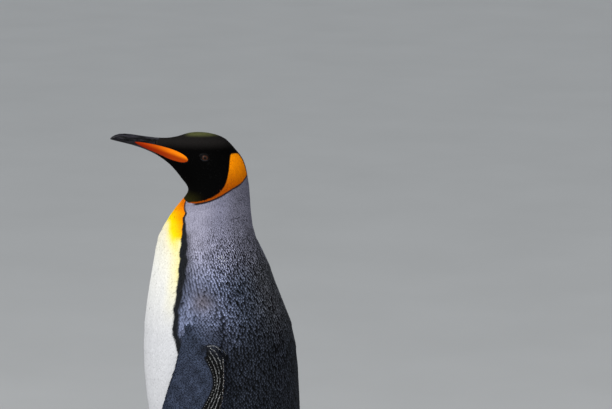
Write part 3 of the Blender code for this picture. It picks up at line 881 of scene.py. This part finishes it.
def row_roots(tree):
    """Roots in rows round the neck and trunk, shifted so that the tips line up in slanting chains."""
    turns = np.linspace(0, 2 * math.pi, RAYS + 1)
    quarter = RAYS // 4
    halves = ((quarter, 0, 2 * quarter, 1), (3 * quarter, 2 * quarter, RAYS, -1))
    roots, level, shift = [], TOP_ROW, 0.0
    while level > BOTTOM_ROW:
        start = Vector((0, float(np.interp(level, LEVELS, PROFILE[:, :2].mean(axis=1))), level))
        hits = [tree.ray_cast(start, Vector((math.sin(turn), -math.cos(turn), 0)))[0] for turn in turns]
        pitch = float(feather_pitch(np.array(((0.0, 0.0, level),)), np.array((TRUNK,)))[0])
        across, jitter = ACROSS * pitch, 0.06 * pitch
        shift += SHIFT * pitch
        if all(hit is not None for hit in hits):
            ring = np.array(hits)
            places = places_along(ring)
            for side, low, high, back in halves:
                at = places[side] + (np.arange(-400, 400) * ACROSS * pitch + back * (shift % across))
                at = at + rng.normal(0, jitter, len(at))
                at = at[(at > places[low]) & (at < places[high])]
                roots.append(follow(ring, places, at))
                roots[-1][:, 2] += rng.normal(0, jitter, len(at))
        level -= DOWN * pitch
    return np.vstack(roots)


def surface_at(places, tree, triangles, normals, labels):
    """Nearest points of the skin to these places, with their normals and labels."""
    found = [tree.find_nearest(place) for place in places]
    faces = np.array([hit[2] for hit in found])
    roots = np.array([hit[0] for hit in found])
    return roots, unit(normals[triangles[faces]].mean(axis=1)), labels[triangles[faces, 0]]


def thin_out(roots, reach, laid, laid_reach):
    """Places of the roots that stay when each keeps later ones out of its reach.

    The laid roots, which come first, stand closer together than the scattered ones that fill their gaps.
    """
    tree = grow_tree(roots)
    free = np.ones(len(roots), bool)
    kept = []
    for index in range(len(roots)):
        if free[index]:
            kept.append(index)
            for _, other, gap in tree.find_range(roots[index], reach[index]):
                if other >= laid or gap < laid_reach[index]:
                    free[other] = False
    return np.array(kept)


def by_rear_edge(roots, node, reach):
    """True for the roots on a flipper's blade within this reach of its trailing edge."""
    near = np.zeros(len(roots), bool)
    for number, name in FLIPPERS:
        near |= (node == number) & (roots[:, 2] < BLADE_TOP) & (flipper_place(name, roots)[1] < reach)
    return near


def feather_roots(points, triangles, normals, labels):
    """All roots of the coat: the folds' ridges, rows on the body, and an even scatter over the rest."""
    tree = BVHTree.FromPolygons(points.tolist(), triangles.tolist())
    ridges, runs, strength = fold_roots(tree)
    rows = row_roots(tree)
    pitch = feather_pitch(points, labels)
    density = triangle_areas(points, triangles) / pitch[triangles].mean(axis=1) ** 2
    loose = scatter_on(points, triangles, density, int(density.sum() * 5))[0]
    roots, lift, node = surface_at(np.vstack((ridges, rows, loose)), tree, triangles, normals, labels)
    on_body = np.isin(node, BODY) | (np.isin(node, WINGS) & (roots[:, 2] > ROWS_ON_WING))
    fold = np.zeros(len(roots))
    fold[: len(ridges)] = strength
    run = np.zeros_like(roots)
    run[: len(ridges)] = runs
    in_rows = np.arange(len(roots)) < len(ridges) + len(rows)
    usable = clear_of_bare_parts(roots) & (on_body | ~in_rows | (fold > 0))
    usable &= ~by_rear_edge(roots, node, BARE_RIM) | (fold > 0)
    laid = int((usable & in_rows).sum())
    roots, lift, node, fold, run = (values[usable] for values in (roots, lift, node, fold, run))
    pitch = feather_pitch(roots, node)
    reach = np.where(fold > 0, 2.2, 0.82 * pitch)
    laid_reach = np.where(fold > 0, 2.2, 0.56 * pitch)
    kept = thin_out(roots, reach, laid, laid_reach)
    return tuple(values[kept] for values in (roots, lift, node, pitch, fold, run))


# ---------------- feathers

# Vanes: shares of (length, width, depth), the ridge, and how much of the tip's colour shows.
SMALL_VANE = np.array((
    (0.00, 0.0, -0.12, 0.0, 0.0),
    (0.42, -0.50, 0.52, 0.0, 0.1), (0.42, 0.50, 0.52, 0.0, 0.1), (0.40, 0.0, 0.56, 1.0, 0.0),
    (0.80, -0.40, 0.86, 0.0, 0.75), (0.80, 0.40, 0.86, 0.0, 0.75), (0.80, 0.0, 0.92, 0.9, 0.6),
    (1.00, 0.0, 1.00, 0.15, 1.0),
))
SMALL_TRIANGLES = np.array(((0, 3, 1), (0, 2, 3), (0, 1, 2), (4, 6, 7), (6, 5, 7), (5, 4, 7)))
SMALL_QUADS = np.array(((1, 3, 6, 4), (3, 2, 5, 6), (2, 1, 4, 5)))
LARGE_VANE = np.array((
    (0.00, 0.0, -0.12, 0.0, 0.0),
    (0.36, -0.47, 0.46, 0.0, 0.0), (0.36, 0.47, 0.46, 0.0, 0.0), (0.34, 0.0, 0.50, 1.0, 0.0),
    (0.70, -0.48, 0.80, 0.0, 0.30), (0.70, 0.48, 0.80, 0.0, 0.30), (0.70, 0.0, 0.84, 1.0, 0.70),
    (0.91, -0.30, 0.94, 0.0, 0.45), (0.91, 0.30, 0.94, 0.0, 0.45), (0.91, 0.0, 0.97, 0.7, 1.0),
    (1.00, 0.0, 1.00, 0.1, 0.95),
))
LARGE_TRIANGLES = np.array(((0, 3, 1), (0, 2, 3), (0, 1, 2), (7, 9, 10), (9, 8, 10), (8, 7, 10)))
LARGE_QUADS = np.array(((1, 3, 6, 4), (3, 2, 5, 6), (2, 1, 4, 5), (4, 6, 9, 7), (6, 5, 8, 9), (5, 4, 7, 8)))
VANES = {
    "small": (SMALL_VANE, SMALL_TRIANGLES, SMALL_QUADS),
    "large": (LARGE_VANE, LARGE_TRIANGLES, LARGE_QUADS),
}
PATCH_SIZE = 0.003  # side of a feather's patch on its coat's map
BEND = 0.0016  # how far vanes follow the round of the body, for each squared millimetre of length


def vane_points(kind, roots, normals, directions, length, width, depth):
    """Points of the vanes that grow from these roots: (vane, corner, 3)."""
    u, v, h, r = (VANES[kind][0][:, k] for k in range(4))
    side = np.cross(directions, normals)
    rise = depth[:, None] * h + 0.11 * width[:, None] * r - BEND * length[:, None] ** 2 * u**2
    return (
        roots[:, None]
        + directions[:, None] * (length[:, None] * u)[..., None]
        + side[:, None] * (width[:, None] * v)[..., None]
        + normals[:, None] * rise[..., None]
    )


def vane_mesh(name, kind, points, colour, unwrap):
    """Closed leaf-shaped solids from their points and colours, each a small patch at its place on the map."""
    shape, triangles, quads = VANES[kind]
    offset = (np.arange(len(points)) * len(shape))[:, None, None]
    faces = [(triangles + offset).reshape(-1, 3), (quads + offset).reshape(-1, 4)]
    obj = make_mesh(name, points.reshape(-1, 3), faces)
    obj.data.set_sharp_from_angle(angle=math.radians(75))
    set_plume(obj.data, colour.reshape(-1, 3))
    corners = np.empty(len(obj.data.loops), np.int32)
    obj.data.loops.foreach_get("vertex_index", corners)
    patch = np.column_stack((shape[:, 1], shape[:, 0] - 0.5)) * PATCH_SIZE
    flat = (unwrap[:, None] + patch[None]).reshape(-1, 2)
    layer = obj.data.uv_layers.new(name="OFBake")
    layer.data.foreach_set("uv", flat[corners].astype(np.float32).ravel())
    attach(obj, "root")
    return obj


def spread(values):
    """Values as shares of their range, kept off the edge of the map."""
    return 0.01 + 0.98 * (values - values.min()) / max(np.ptp(values), 1e-9)


def unwrap_body(points, normals):
    """Turn round the bird's axis, and height. The cut is behind pale pieces and in front of the others."""
    if body_angle(points).mean() < 90:
        turn = np.arctan2(points[:, 0], 5.0 - points[:, 1])
    else:
        turn = np.arctan2(-points[:, 0], points[:, 1] - 5.0)
    return turn, points[:, 2]


def unwrap_head(points, normals):
    """Round the head's long axis."""
    head = to_head(points)
    return np.arctan2(head[:, 0], head[:, 2] - 868.0), head[:, 1] + 0.35 * (868.0 - head[:, 2])


def unwrap_limb(points, normals):
    """A flipper's or leg's outer face beside its inner face."""
    inner = normals[:, 0] * np.sign(points[:, 0].mean()) < 0
    return 1.06 * inner + spread(points[:, 1]), points[:, 2]


UNWRAPS = {"body": unwrap_body, "head": unwrap_head, "limb": unwrap_limb}
# Where the coat's pieces meet: heights on the body, and y on the head.
NECK_END, RUMP_TOP, BELLY_TOP, FACE_END = 775, 500, 440, -28


def coat_pieces(points, labels):
    """Name, unwrap, vane, slot and members of each piece of the coat."""
    height = points[:, 2]
    pale = body_angle(points) < along(WHITE_EDGE, 1, height)
    head, trunk = labels == HEAD, np.isin(labels, BODY)
    body, dark = trunk & (height < NECK_END), trunk & ~pale
    face = to_head(points)[:, 1] < FACE_END
    left, mantle = points[:, 0] > 0, dark & (height < NECK_END) & (height >= RUMP_TOP)
    plain = ("limb", "small", "back_plumage")
    return (
        ("coat_face", "head", "small", "head_plumage", head & face),
        ("coat_crown", "head", "small", "head_plumage", head & ~face),
        ("coat_neck", "body", "small", "neck_plumage", trunk & (height >= NECK_END)),
        ("coat_breast", "body", "large", "back_plumage", body & pale & (height >= BELLY_TOP)),
        ("coat_belly", "body", "large", "back_plumage", body & pale & (height < BELLY_TOP)),
        ("coat_mantle_left", "body", "large", "back_plumage", mantle & left),
        ("coat_mantle_right", "body", "large", "back_plumage", mantle & ~left),
        ("coat_rump", "body", "large", "back_plumage", dark & (height < RUMP_TOP)),
        ("coat_flipper_left", *plain, labels == LEFT),
        ("coat_flipper_right", *plain, labels == RIGHT),
        ("coat_leg_left", *plain, labels == LEGS[0]),
        ("coat_leg_right", *plain, labels == LEGS[1]),
        ("coat_tail", "body", "large", "tail_plumage", labels == TAIL),
    )


def build_coat(points, triangles, normals, labels):
    roots, lift, node, pitch, fold, run = feather_roots(points, triangles, normals, labels)
    count = len(roots)
    directions = lie_of_coat(roots, lift, node)
    folded = fold > 0
    directions[folded] = flat_on(run[folded], lift[folded])
    yaw = rng.normal(0, math.radians(6), count)
    side = np.cross(directions, lift)
    directions = unit(directions * np.cos(yaw)[:, None] + side * np.sin(yaw)[:, None])
    length = pitch * 2.35 * rng.uniform(0.9, 1.1, count)
    width = pitch * (1.28 + 0.2 * (body_angle(roots) < 70)) * rng.uniform(0.92, 1.08, count)
    depth = coat_depth(roots, node) * rng.uniform(0.85, 1.0, count)
    length = np.where(folded, 3.9, length)
    beside = by_rear_edge(roots, node, SHORT_RIM)
    length, width = np.where(beside, 0.7 * length, length), np.where(beside, 0.66 * width, width)
    over_floor = (roots[:, 2] - 3) / np.maximum(-directions[:, 2], 0.3)
    length = np.where(node == TAIL, np.minimum(length, over_floor), length)
    width = np.where(folded, 1.65, width)
    depth = np.where(folded, 0.9 + 1.1 * fold, depth)
    tone = rng.normal(1, 0.06, count)
    velvet = plumage_material("head_feathers", 0.6, 0.01, 0.15)
    contour = plumage_material("body_feathers", 0.6, 0.05, 0.14)
    for name, unwrap, kind, slot, members in coat_pieces(roots, node):
        chosen = np.flatnonzero(members)
        flat = np.column_stack([spread(axis) for axis in UNWRAPS[unwrap](roots[chosen], lift[chosen])])
        vanes = vane_points(
            kind, *(values[chosen] for values in (roots, lift, directions, length, width, depth))
        )
        colour = vane_colours(kind, vanes, lift[chosen], node[chosen], tone[chosen], fold[chosen])
        obj = vane_mesh(name, kind, vanes, colour, flat)
        obj.data.materials.append(velvet if slot in ("head_plumage", "neck_plumage") else contour)


# Share of a vane's visible part that has the tip's colour: on the least and on the most speckled feathers.
PALE_SHARE = {"small": (0.60, 0.35), "large": (0.58, 0.22)}
SHARPER = 3.0  # added to the power that draws the tip's colour together on the most speckled feathers
TIP_GAIN, BASE_LOSS = 7.0, 0.97  # how much the most speckled feathers gain at the tip and lose at the base


def vane_colours(kind, vanes, lift, node, tone, fold):
    """Colours of the vanes' corners: the plumage at each corner's place, paler towards the tip, and a painted
    highlight on the fold's ridges.
    """
    corners = vanes.shape[1]
    lifts, nodes = np.repeat(lift, corners, axis=0), np.repeat(node, corners)
    colour, speckle = plumage(vanes.reshape(-1, 3), lifts, nodes)
    colour, speckle = colour.reshape(vanes.shape), speckle.reshape(len(vanes), corners)
    sharp = (ease(0.40, 1.0, speckle.mean(axis=1)) * ease(790, 725, vanes[:, 0, 2]))[:, None]
    paint = VANES[kind][0][:, 4][None, :] ** (1 + SHARPER * sharp)
    least, most = PALE_SHARE[kind]
    gain = TIP_GAIN * np.clip(1 + (2.6 + 3.0 * sharp) * (tone - 1)[:, None], 0.04, 3.0)
    base, tip = 1 - BASE_LOSS * speckle, 1 + gain * speckle
    level = 1 / (base + (1 + TIP_GAIN * speckle - base) * (least + (most - least) * sharp))
    base, tip = base * level, tip * level
    shade = 1 + (tone - 1)[:, None] * (0.4 + 0.6 * speckle)
    colour = colour * (shade * (base + (tip - base) * paint))[..., None]
    # Painted highlight: the tips of the fold's ridge feathers are painted pale grey.
    ridge = INK["fold_ridge_highlight"] * np.clip(0.85 + 8 * (tone - 1), 0.15, 1.5)[:, None, None]
    share = (fold[:, None] * ease(0.2, 0.9, paint))[..., None]
    return np.clip(colour + (ridge - colour) * share, 0.001, 0.97)


TAIL_CLEAR = 9.0  # no feather is rooted lower than this over the floor
TAIL_COAT_END = 101.0  # below this the stiff feathers cover the tail's back


def clear_of_bare_parts(points):
    """True where a feather may grow: not on an eye, a bill plate, the bill, the tail's back or the floor."""
    head = to_head(points)
    side, y, z = np.abs(head[:, 0]), head[:, 1], head[:, 2]
    back, up = y - EYE_CENTRE[1] + LID_FORWARD, z - EYE_CENTRE[2]
    away = back * math.cos(LID_SLANT) + up * math.sin(LID_SLANT) + 1.4
    above = up * math.cos(LID_SLANT) - back * math.sin(LID_SLANT)
    eye = np.hypot(away / (LID_HALF_LENGTH + 1.8), above / (LID_HALF_HEIGHT + 1.1)) > 1
    plate = (polygon_distance(plate_outline(0.5), np.column_stack((y, z))) < 0) | (side < 5)
    bill = (y < BILL_ROOT - 6) & (z > BILL_FOOT)
    tail_middle = along(TAIL_WEDGE, 1, z) - along(TAIL_WEDGE, 2, z)
    tail_back = (z < TAIL_COAT_END) & (points[:, 1] > tail_middle + 1.5)
    return (eye | (side < 10)) & plate & ~bill & ~tail_back & (z > TAIL_CLEAR)


# ---------------- bill, plates, eyes, claws and feet

EYE_CENTRE, EYE_RADIUS = np.array((25.8, -27.0, 882.0)), 8.0
PLATE_FRONT, PLATE_BACK, PLATE_HALF_WIDTH = np.array((-144.0, 904.2)), np.array((-55.0, 876.5)), 8.6
PLATE_RUN = unit(PLATE_BACK - PLATE_FRONT)
PLATE_UP = np.array((-PLATE_RUN[1], PLATE_RUN[0]))
PLATE_LOW = np.array(((0.24, 0.012, 0.001), (0.35, 0.040, 0.001)))  # colour of the lower edge: front, back
PLATE_HIGH = np.array(((0.46, 0.042, 0.001), (0.95, 0.24, 0.001)))  # colour of the upper edge: front, back


def plate_outline(grow):
    """Outline of the orange plate in the side view of the head."""
    shares = np.linspace(0.01, 0.995, 24)
    half = PLATE_HALF_WIDTH * 1.57 * shares**0.7 * np.sqrt(1 - shares**3) + grow
    middle = PLATE_FRONT + (PLATE_BACK - PLATE_FRONT) * shares[:, None]
    return np.vstack((middle + PLATE_UP * half[:, None], (middle - PLATE_UP * half[:, None])[::-1]))


def fine_piece(node, voxel, rounds, plug=None):
    """Points and triangles of a fine mesh over a CAD node and a plug, which is a ball's middle and radii."""
    obj = joined_copy([node])
    if plug:
        centre, radii = plug
        bm = bmesh.new()
        bm.from_mesh(obj.data)
        made = bmesh.ops.create_uvsphere(bm, u_segments=32, v_segments=20, radius=1.0)
        turn = Matrix.Rotation(HEAD_TURN, 3, "Z")
        shape = Matrix.LocRotScale(Vector(place(from_head(centre))), turn, Vector(radii) * MM)
        bmesh.ops.transform(bm, matrix=shape, verts=made["verts"])
        bm.to_mesh(obj.data)
        bm.free()
    points, edges, triangles = mesh_arrays(remeshed(obj, voxel))
    return relax(points, edges, np.ones(len(points)), rounds), triangles


def horn_material(name, colour, low, high, roughness, grain, coat=0.0):
    """Horn with a long grain, darker and paler along it."""
    material, links, nodes, shader = new_material(name)
    noise = add_noise(links, nodes, 260.0, 4.0, (1.0, 0.14, 1.0))
    colour = np.array(colour)
    add_ramp(links, nodes, noise, ((0.42, colour * low), (0.68, colour * high)), shader)
    add_range(links, nodes, noise, roughness * 0.8, roughness * 1.3, shader.inputs["Roughness"])
    set_inputs(shader, {"Specular IOR Level": 0.13, "Coat Weight": coat, "Coat Roughness": 0.15})
    add_bump(links, nodes, noise, grain, 0.0003, shader)
    return material


def finish_piece(obj, material, slot, *nodes):
    obj.data.materials.clear()
    obj.data.materials.append(material)
    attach(obj, "root")
    if nodes:
        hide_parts(*nodes)


PLUG_INSET, PLUG_REACH = 0.25, 11.0  # the bill runs on into the feathers as a tapering plug


def build_bill():
    horn = horn_material("black_horn", (0.0030, 0.0027, 0.0036), 0.3, 8.0, 0.13, 0.25)
    for name, node in (("bill_upper", "maxilla"), ("bill_lower", "mandible")):
        head = to_head(node_points(node))
        end = head[head[:, 1] > head[:, 1].max() - 1.5]
        low, high = end[:, 2].min() + PLUG_INSET, end[:, 2].max() - PLUG_INSET
        middle = (0.0, head[:, 1].max() - 0.5, (low + high) / 2)
        radii = (end[:, 0].max() - 5 * PLUG_INSET, PLUG_REACH, (high - low) / 2)
        if node == "mandible":
            middle = (0.0, middle[1] + 4.0, middle[2] + 2.0)
            radii = (radii[0] - 1.0, PLUG_REACH, (high - low) / 2 - 2.5)
        points, triangles = fine_piece(node, 0.55, 8, (middle, radii))
        if node == "maxilla":
            points = carve_nostril(points)
        finish_piece(make_mesh(name, points, [triangles]), horn, "bill_horn", node)


NOSTRIL_LINE = ((-165, 911.5), (-150, 911.3), (-128, 908.8), (-104, 905.8))  # (y, z) along the groove


def carve_nostril(points):
    """A shallow groove along each side of the upper bill, deepest at the slit of the nostril."""
    head = to_head(points)
    y, z = head[:, 1], head[:, 2]
    line = along(NOSTRIL_LINE, 1, y)
    depth = 1.1 * np.exp(-(((z - line) / 1.3) ** 2)) * ease(-172, -155, y)
    slit = 0.8 * np.exp(-(((z - line) / 0.8) ** 2)) * np.exp(-(((y + 122) / 9) ** 2))
    head[:, 0] -= np.sign(head[:, 0]) * (depth + slit) * (np.abs(head[:, 0]) > 2)
    return from_head(head)


def build_plates():
    """Orange plates, paler along their upper edge and towards the back."""
    material, links, nodes, shader = new_material("orange_plate")
    noise = add_noise(links, nodes, 220.0, 3.0, (1.0, 0.3, 1.0))
    add_paint(links, nodes, noise, 0.86, 1.14, shader)
    add_range(links, nodes, noise, 0.28, 0.42, shader.inputs["Roughness"])
    set_inputs(shader, {"Specular IOR Level": 0.04})
    add_bump(links, nodes, noise, 0.2, 0.0002, shader)
    for side in ("left", "right"):
        node = f"bill_plate_{side}"
        points, triangles = fine_piece(node, 0.45, 60)
        flat = to_head(points)[:, 1:] - PLATE_FRONT
        back = ease(10, 95, flat @ PLATE_RUN)
        colour = mix(mix(*PLATE_LOW, back), mix(*PLATE_HIGH, back), ease(-2.0, 5.5, flat @ PLATE_UP))
        obj = make_mesh(f"plate_{side}", points, [triangles])
        set_plume(obj.data, colour)
        finish_piece(obj, material, "bill_plate", node)


PUPIL, IRIS, IRIS_RIM = np.array(((0.002, 0.002, 0.002), (0.040, 0.015, 0.008), (0.004, 0.003, 0.003)))


def eye_material():
    """Painted iris and pupil under a wet cornea."""
    material, links, nodes, shader = new_material("eye")
    paint = nodes.new("ShaderNodeAttribute")
    paint.attribute_name = "plume"
    links.new(paint.outputs["Color"], shader.inputs["Base Color"])
    set_inputs(shader, {"Roughness": 0.1, "Specular IOR Level": 0.07})
    return material


def unit_ball():
    """Points and triangles of a ball of radius 1 whose axis is the bird's X.

    Blender gives the triangles in another order each run, so they are sorted.
    """
    bm = bmesh.new()
    bmesh.ops.create_uvsphere(bm, u_segments=64, v_segments=48, radius=1.0)
    bmesh.ops.triangulate(bm, faces=bm.faces)
    points = np.array([vertex.co for vertex in bm.verts])
    corners = [[vertex.index for vertex in face.verts] for face in bm.faces]
    triangles = np.array(sorted(np.roll(face, -np.argmin(face)).tolist() for face in corners))
    bm.free()
    return points[:, (2, 0, 1)], triangles


def build_eyes():
    """Eyeballs, with a streaky brown iris round a black pupil, and their lids."""
    wet = eye_material()
    rim = plumage_material("eyelid_skin", 0.55, 0.06, 0.3)
    for side, word in ((1, "left"), (-1, "right")):
        mirror = np.array((side, 1, 1))
        ball, triangles = unit_ball()
        ball = ball * mirror
        off_axis = np.degrees(np.arccos(np.clip(ball[:, 0] * side, -1, 1)))
        bulge = 0.35 * ease(40, 10, off_axis)
        centre = EYE_CENTRE * mirror
        points = from_head(centre + ball * (EYE_RADIUS + bulge)[:, None])
        streak = 0.75 + 0.5 * np.abs(np.sin(9 * np.arctan2(ball[:, 1], ball[:, 2])))
        colour = mix(PUPIL, IRIS * streak[:, None], ease(14, 17, off_axis))
        colour = mix(colour, IRIS_RIM, ease(30, 42, off_axis))
        obj = make_mesh(f"eyeball_{word}", points, [triangles[:, ::side]])
        set_plume(obj.data, colour)
        finish_piece(obj, wet, "eye", f"eye_{word}")
        finish_piece(lids(word, side, centre), rim, "head_plumage")


LID_HALF_LENGTH, LID_HALF_HEIGHT, LID_SLANT = 6.7, 4.5, math.radians(-8)
# The lids' bare skin is dark; a painted highlight runs along the lower lid's inner rim.
LID_DARK, LID_HIGHLIGHT = np.array((0.0025, 0.0022, 0.0022)), np.array((0.030, 0.034, 0.042))
LID_FORWARD = 0.9  # how far in front of the eyeball's middle the opening is centred
LID_RINGS = (  # (growth of the opening, height over the eyeball)
    (0.3, -1.2), (-0.2, 0.1), (0, 0.75), (0.7, 1.15), (1.7, 1), (3, 0.1), (4.2, -1.6), (2.4, -3),
)


def lids(word, side, centre):
    """Eyelids: a ring of bare skin round an almond-shaped opening, with a painted highlight along its lower
    rim.
    """
    turns = np.linspace(0, 2 * math.pi, 72, endpoint=False)
    cos_slant, sin_slant = math.cos(LID_SLANT), math.sin(LID_SLANT)
    corner = 1 + 0.10 * np.abs(np.cos(turns)) ** 6
    rows, paint = [], []
    for growth, over in LID_RINGS:
        y = (LID_HALF_LENGTH + growth) * np.cos(turns) * corner - LID_FORWARD
        z = (LID_HALF_HEIGHT + growth) * np.sin(turns)
        y, z = y * cos_slant - z * sin_slant, y * sin_slant + z * cos_slant
        reach = np.sqrt(np.maximum((EYE_RADIUS + 0.2) ** 2 - y**2 - z**2, 1.0))
        out = np.where(np.hypot(y, z) < 7.3, reach, np.maximum(reach, 3.2)) + over
        rows.append(np.column_stack((side * out, y, z)) + centre)
        # painted highlight along the lower rim
        lower = ease(-0.35, -0.8, np.sin(turns)) * (1.0 if 0 <= growth < 0.7 else 0.0)
        paint.append(mix(LID_DARK, LID_HIGHLIGHT, lower))
    count, faces = len(turns), []
    for ring in range(len(rows)):
        following = (ring + 1) % len(rows)
        for k in range(count):
            n = (k + 1) % count
            quad = (ring * count + k, ring * count + n, following * count + n, following * count + k)
            faces.append(quad[:: -side])
    obj = make_mesh(f"eyelids_{word}", from_head(np.vstack(rows)), [np.array(faces)])
    set_plume(obj.data, np.vstack(paint))
    return obj


def build_feet():
    """Scaly feet: pebbled skin on their tops."""
    skin = horn_material("foot_scales", (0.022, 0.020, 0.020), 0.5, 2.0, 0.5, 0.6)
    for word in ("left", "right"):
        node = f"foot_{word}"
        points, triangles = fine_piece(node, 1.0, 4)
        normals = vertex_normals(points, triangles)
        cells = np.sin(points[:, 0] * 1.9 + np.sin(points[:, 1] * 0.9)) * np.sin(points[:, 1] * 2.1)
        upward = np.maximum(normals[:, 2], 0)
        points = points + normals * (0.35 * cells * upward)[:, None]
        finish_piece(make_mesh(f"scaly_foot_{word}", points, [triangles]), skin, "foot_skin", node)


def build_claws():
    horn = horn_material("claw_horn", (0.012, 0.011, 0.012), 0.6, 1.8, 0.32, 0.3, 0.2)
    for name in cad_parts:
        if name.startswith("claw_"):
            points, triangles = fine_piece(name, 0.5, 5)
            finish_piece(make_mesh(f"horn_{name}", points, [triangles]), horn, "claw", name)


# The tail's wedge: (height, y of its back face, half thickness, half width).
TAIL_WEDGE = (
    (0, 135.9, 3.4, 17), (10, 134.1, 4.6, 22), (34, 129.5, 7, 29.5), (66, 124, 11, 35),
    (100, 118, 15, 38), (140, 111, 19, 38),
)
# Layers of tail feathers: (count, half spread as a share of the width, root height, tip height, lift).
TAIL_LAYERS = ((11, 0.86, 116.0, 1.5, 0.6), (10, 0.80, 119.0, 27.0, 1.5), (9, 0.74, 124.0, 58.0, 2.4))
TAIL_QUILL, TAIL_QUILL_WIDTH = np.array((0.013, 0.015, 0.020)), 9.0


def on_tail_back(across, height, lift):
    """Place on the tail's back face, across from -1 to 1 of its width."""
    back, thick, wide = (along(TAIL_WEDGE, column, height) for column in (1, 2, 3))
    return np.array((across * wide, back - thick * (1 - math.sqrt(1 - across**2)) + lift, height))


def build_tail_feathers():
    """Stiff tail feathers, long and narrow, in layers over the tail's wedge."""
    roots, tips, normals = [], [], []
    for count, spread_half, root_height, tip_height, lift in TAIL_LAYERS:
        for k in range(count):
            across = (k / (count - 1) - 0.5) * 2 * spread_half
            roots.append(on_tail_back(across, root_height, lift - 3.0))
            tips.append(on_tail_back(across * 0.95, tip_height + 7 * across**2, lift))
            normals.append((0.6 * across, 1.0, 0.0))
    roots, tips = np.array(roots), np.array(tips)
    directions, lengths = unit(tips - roots), np.linalg.norm(tips - roots, axis=1)
    normals, ones = flat_on(np.array(normals), directions), np.ones(len(roots))
    vanes = vane_points("large", roots, normals, directions, lengths, TAIL_QUILL_WIDTH * ones, ones)
    unbend = BEND * lengths[:, None] ** 2 * LARGE_VANE[:, 0] ** 2
    vanes = vanes + normals[:, None] * unbend[..., None]
    colour = TAIL_QUILL * rng.uniform(0.7, 1.3, (*vanes.shape[:2], 1))
    flat = np.column_stack((spread(roots[:, 0]), spread(roots[:, 2])))
    obj = vane_mesh("tail_feathers", "large", vanes, colour, flat)
    obj.data.materials.append(plumage_material("tail_quills", 0.5, 0.2, 0.15))


# ---------------- camera, floor and light

CAMERA_TURN = math.radians(18.0)  # behind a straight view of the bird's left side
CAMERA_PITCH = math.radians(10.3)
CAMERA_LENS, CAMERA_DISTANCE = 200.0, 5610.0
AIM = np.array((-42.8, 131.8, 799.0))
LIGHTS_AIM = (0, 0, 650)


def add_camera():
    level = math.cos(CAMERA_PITCH)
    toward = np.array((math.cos(CAMERA_TURN) * level, math.sin(CAMERA_TURN) * level, math.sin(CAMERA_PITCH)))
    camera = bpy.data.cameras.new("camera")
    camera.lens = CAMERA_LENS
    camera.clip_end = 200
    obj = add_object("camera", camera)
    obj.location = place(AIM + toward * CAMERA_DISTANCE)
    obj.rotation_euler = Vector(-toward).to_track_quat("-Z", "Y").to_euler()
    bpy.context.scene.camera = obj


def add_floor():
    bpy.ops.mesh.primitive_plane_add(size=80)
    floor = bpy.context.object
    floor.name = "floor"
    material, links, nodes, shader = new_material("pale_floor")
    noise = add_noise(links, nodes, 3.0, 4.0)
    add_ramp(links, nodes, noise, ((0.0, (0.50, 0.495, 0.485)), (1.0, (0.56, 0.555, 0.545))), shader)
    set_inputs(shader, {"Roughness": 0.9})
    floor.data.materials.append(material)


def add_light(name, energy, size, location):
    light = bpy.data.lights.new(name, "AREA")
    light.energy = energy
    light.size = size
    obj = add_object(name, light)
    obj.location = place(location)
    obj.rotation_euler = (Vector(place(LIGHTS_AIM)) - obj.location).to_track_quat("-Z", "Y").to_euler()


def add_lights():
    world = bpy.data.worlds.new("studio")
    world.use_nodes = True
    sky = world.node_tree.nodes["Background"]
    set_inputs(sky, {"Color": (0.90, 0.95, 1.0, 1), "Strength": 0.60})
    bpy.context.scene.world = world
    bpy.context.scene.view_settings.view_transform = "Standard"
    add_light("key", 78, 2.4, (2600, -1700, 2500))
    add_light("fill", 42, 3.0, (3000, 1500, 1800))


def main():
    add_camera()
    add_floor()
    add_lights()
    points, triangles, normals, labels = build_skin()
    skin_object(points, triangles, normals, labels)
    build_coat(points, triangles, normals, labels)
    build_bill()
    build_plates()
    build_eyes()
    build_feet()
    build_claws()
    build_tail_feathers()


main()
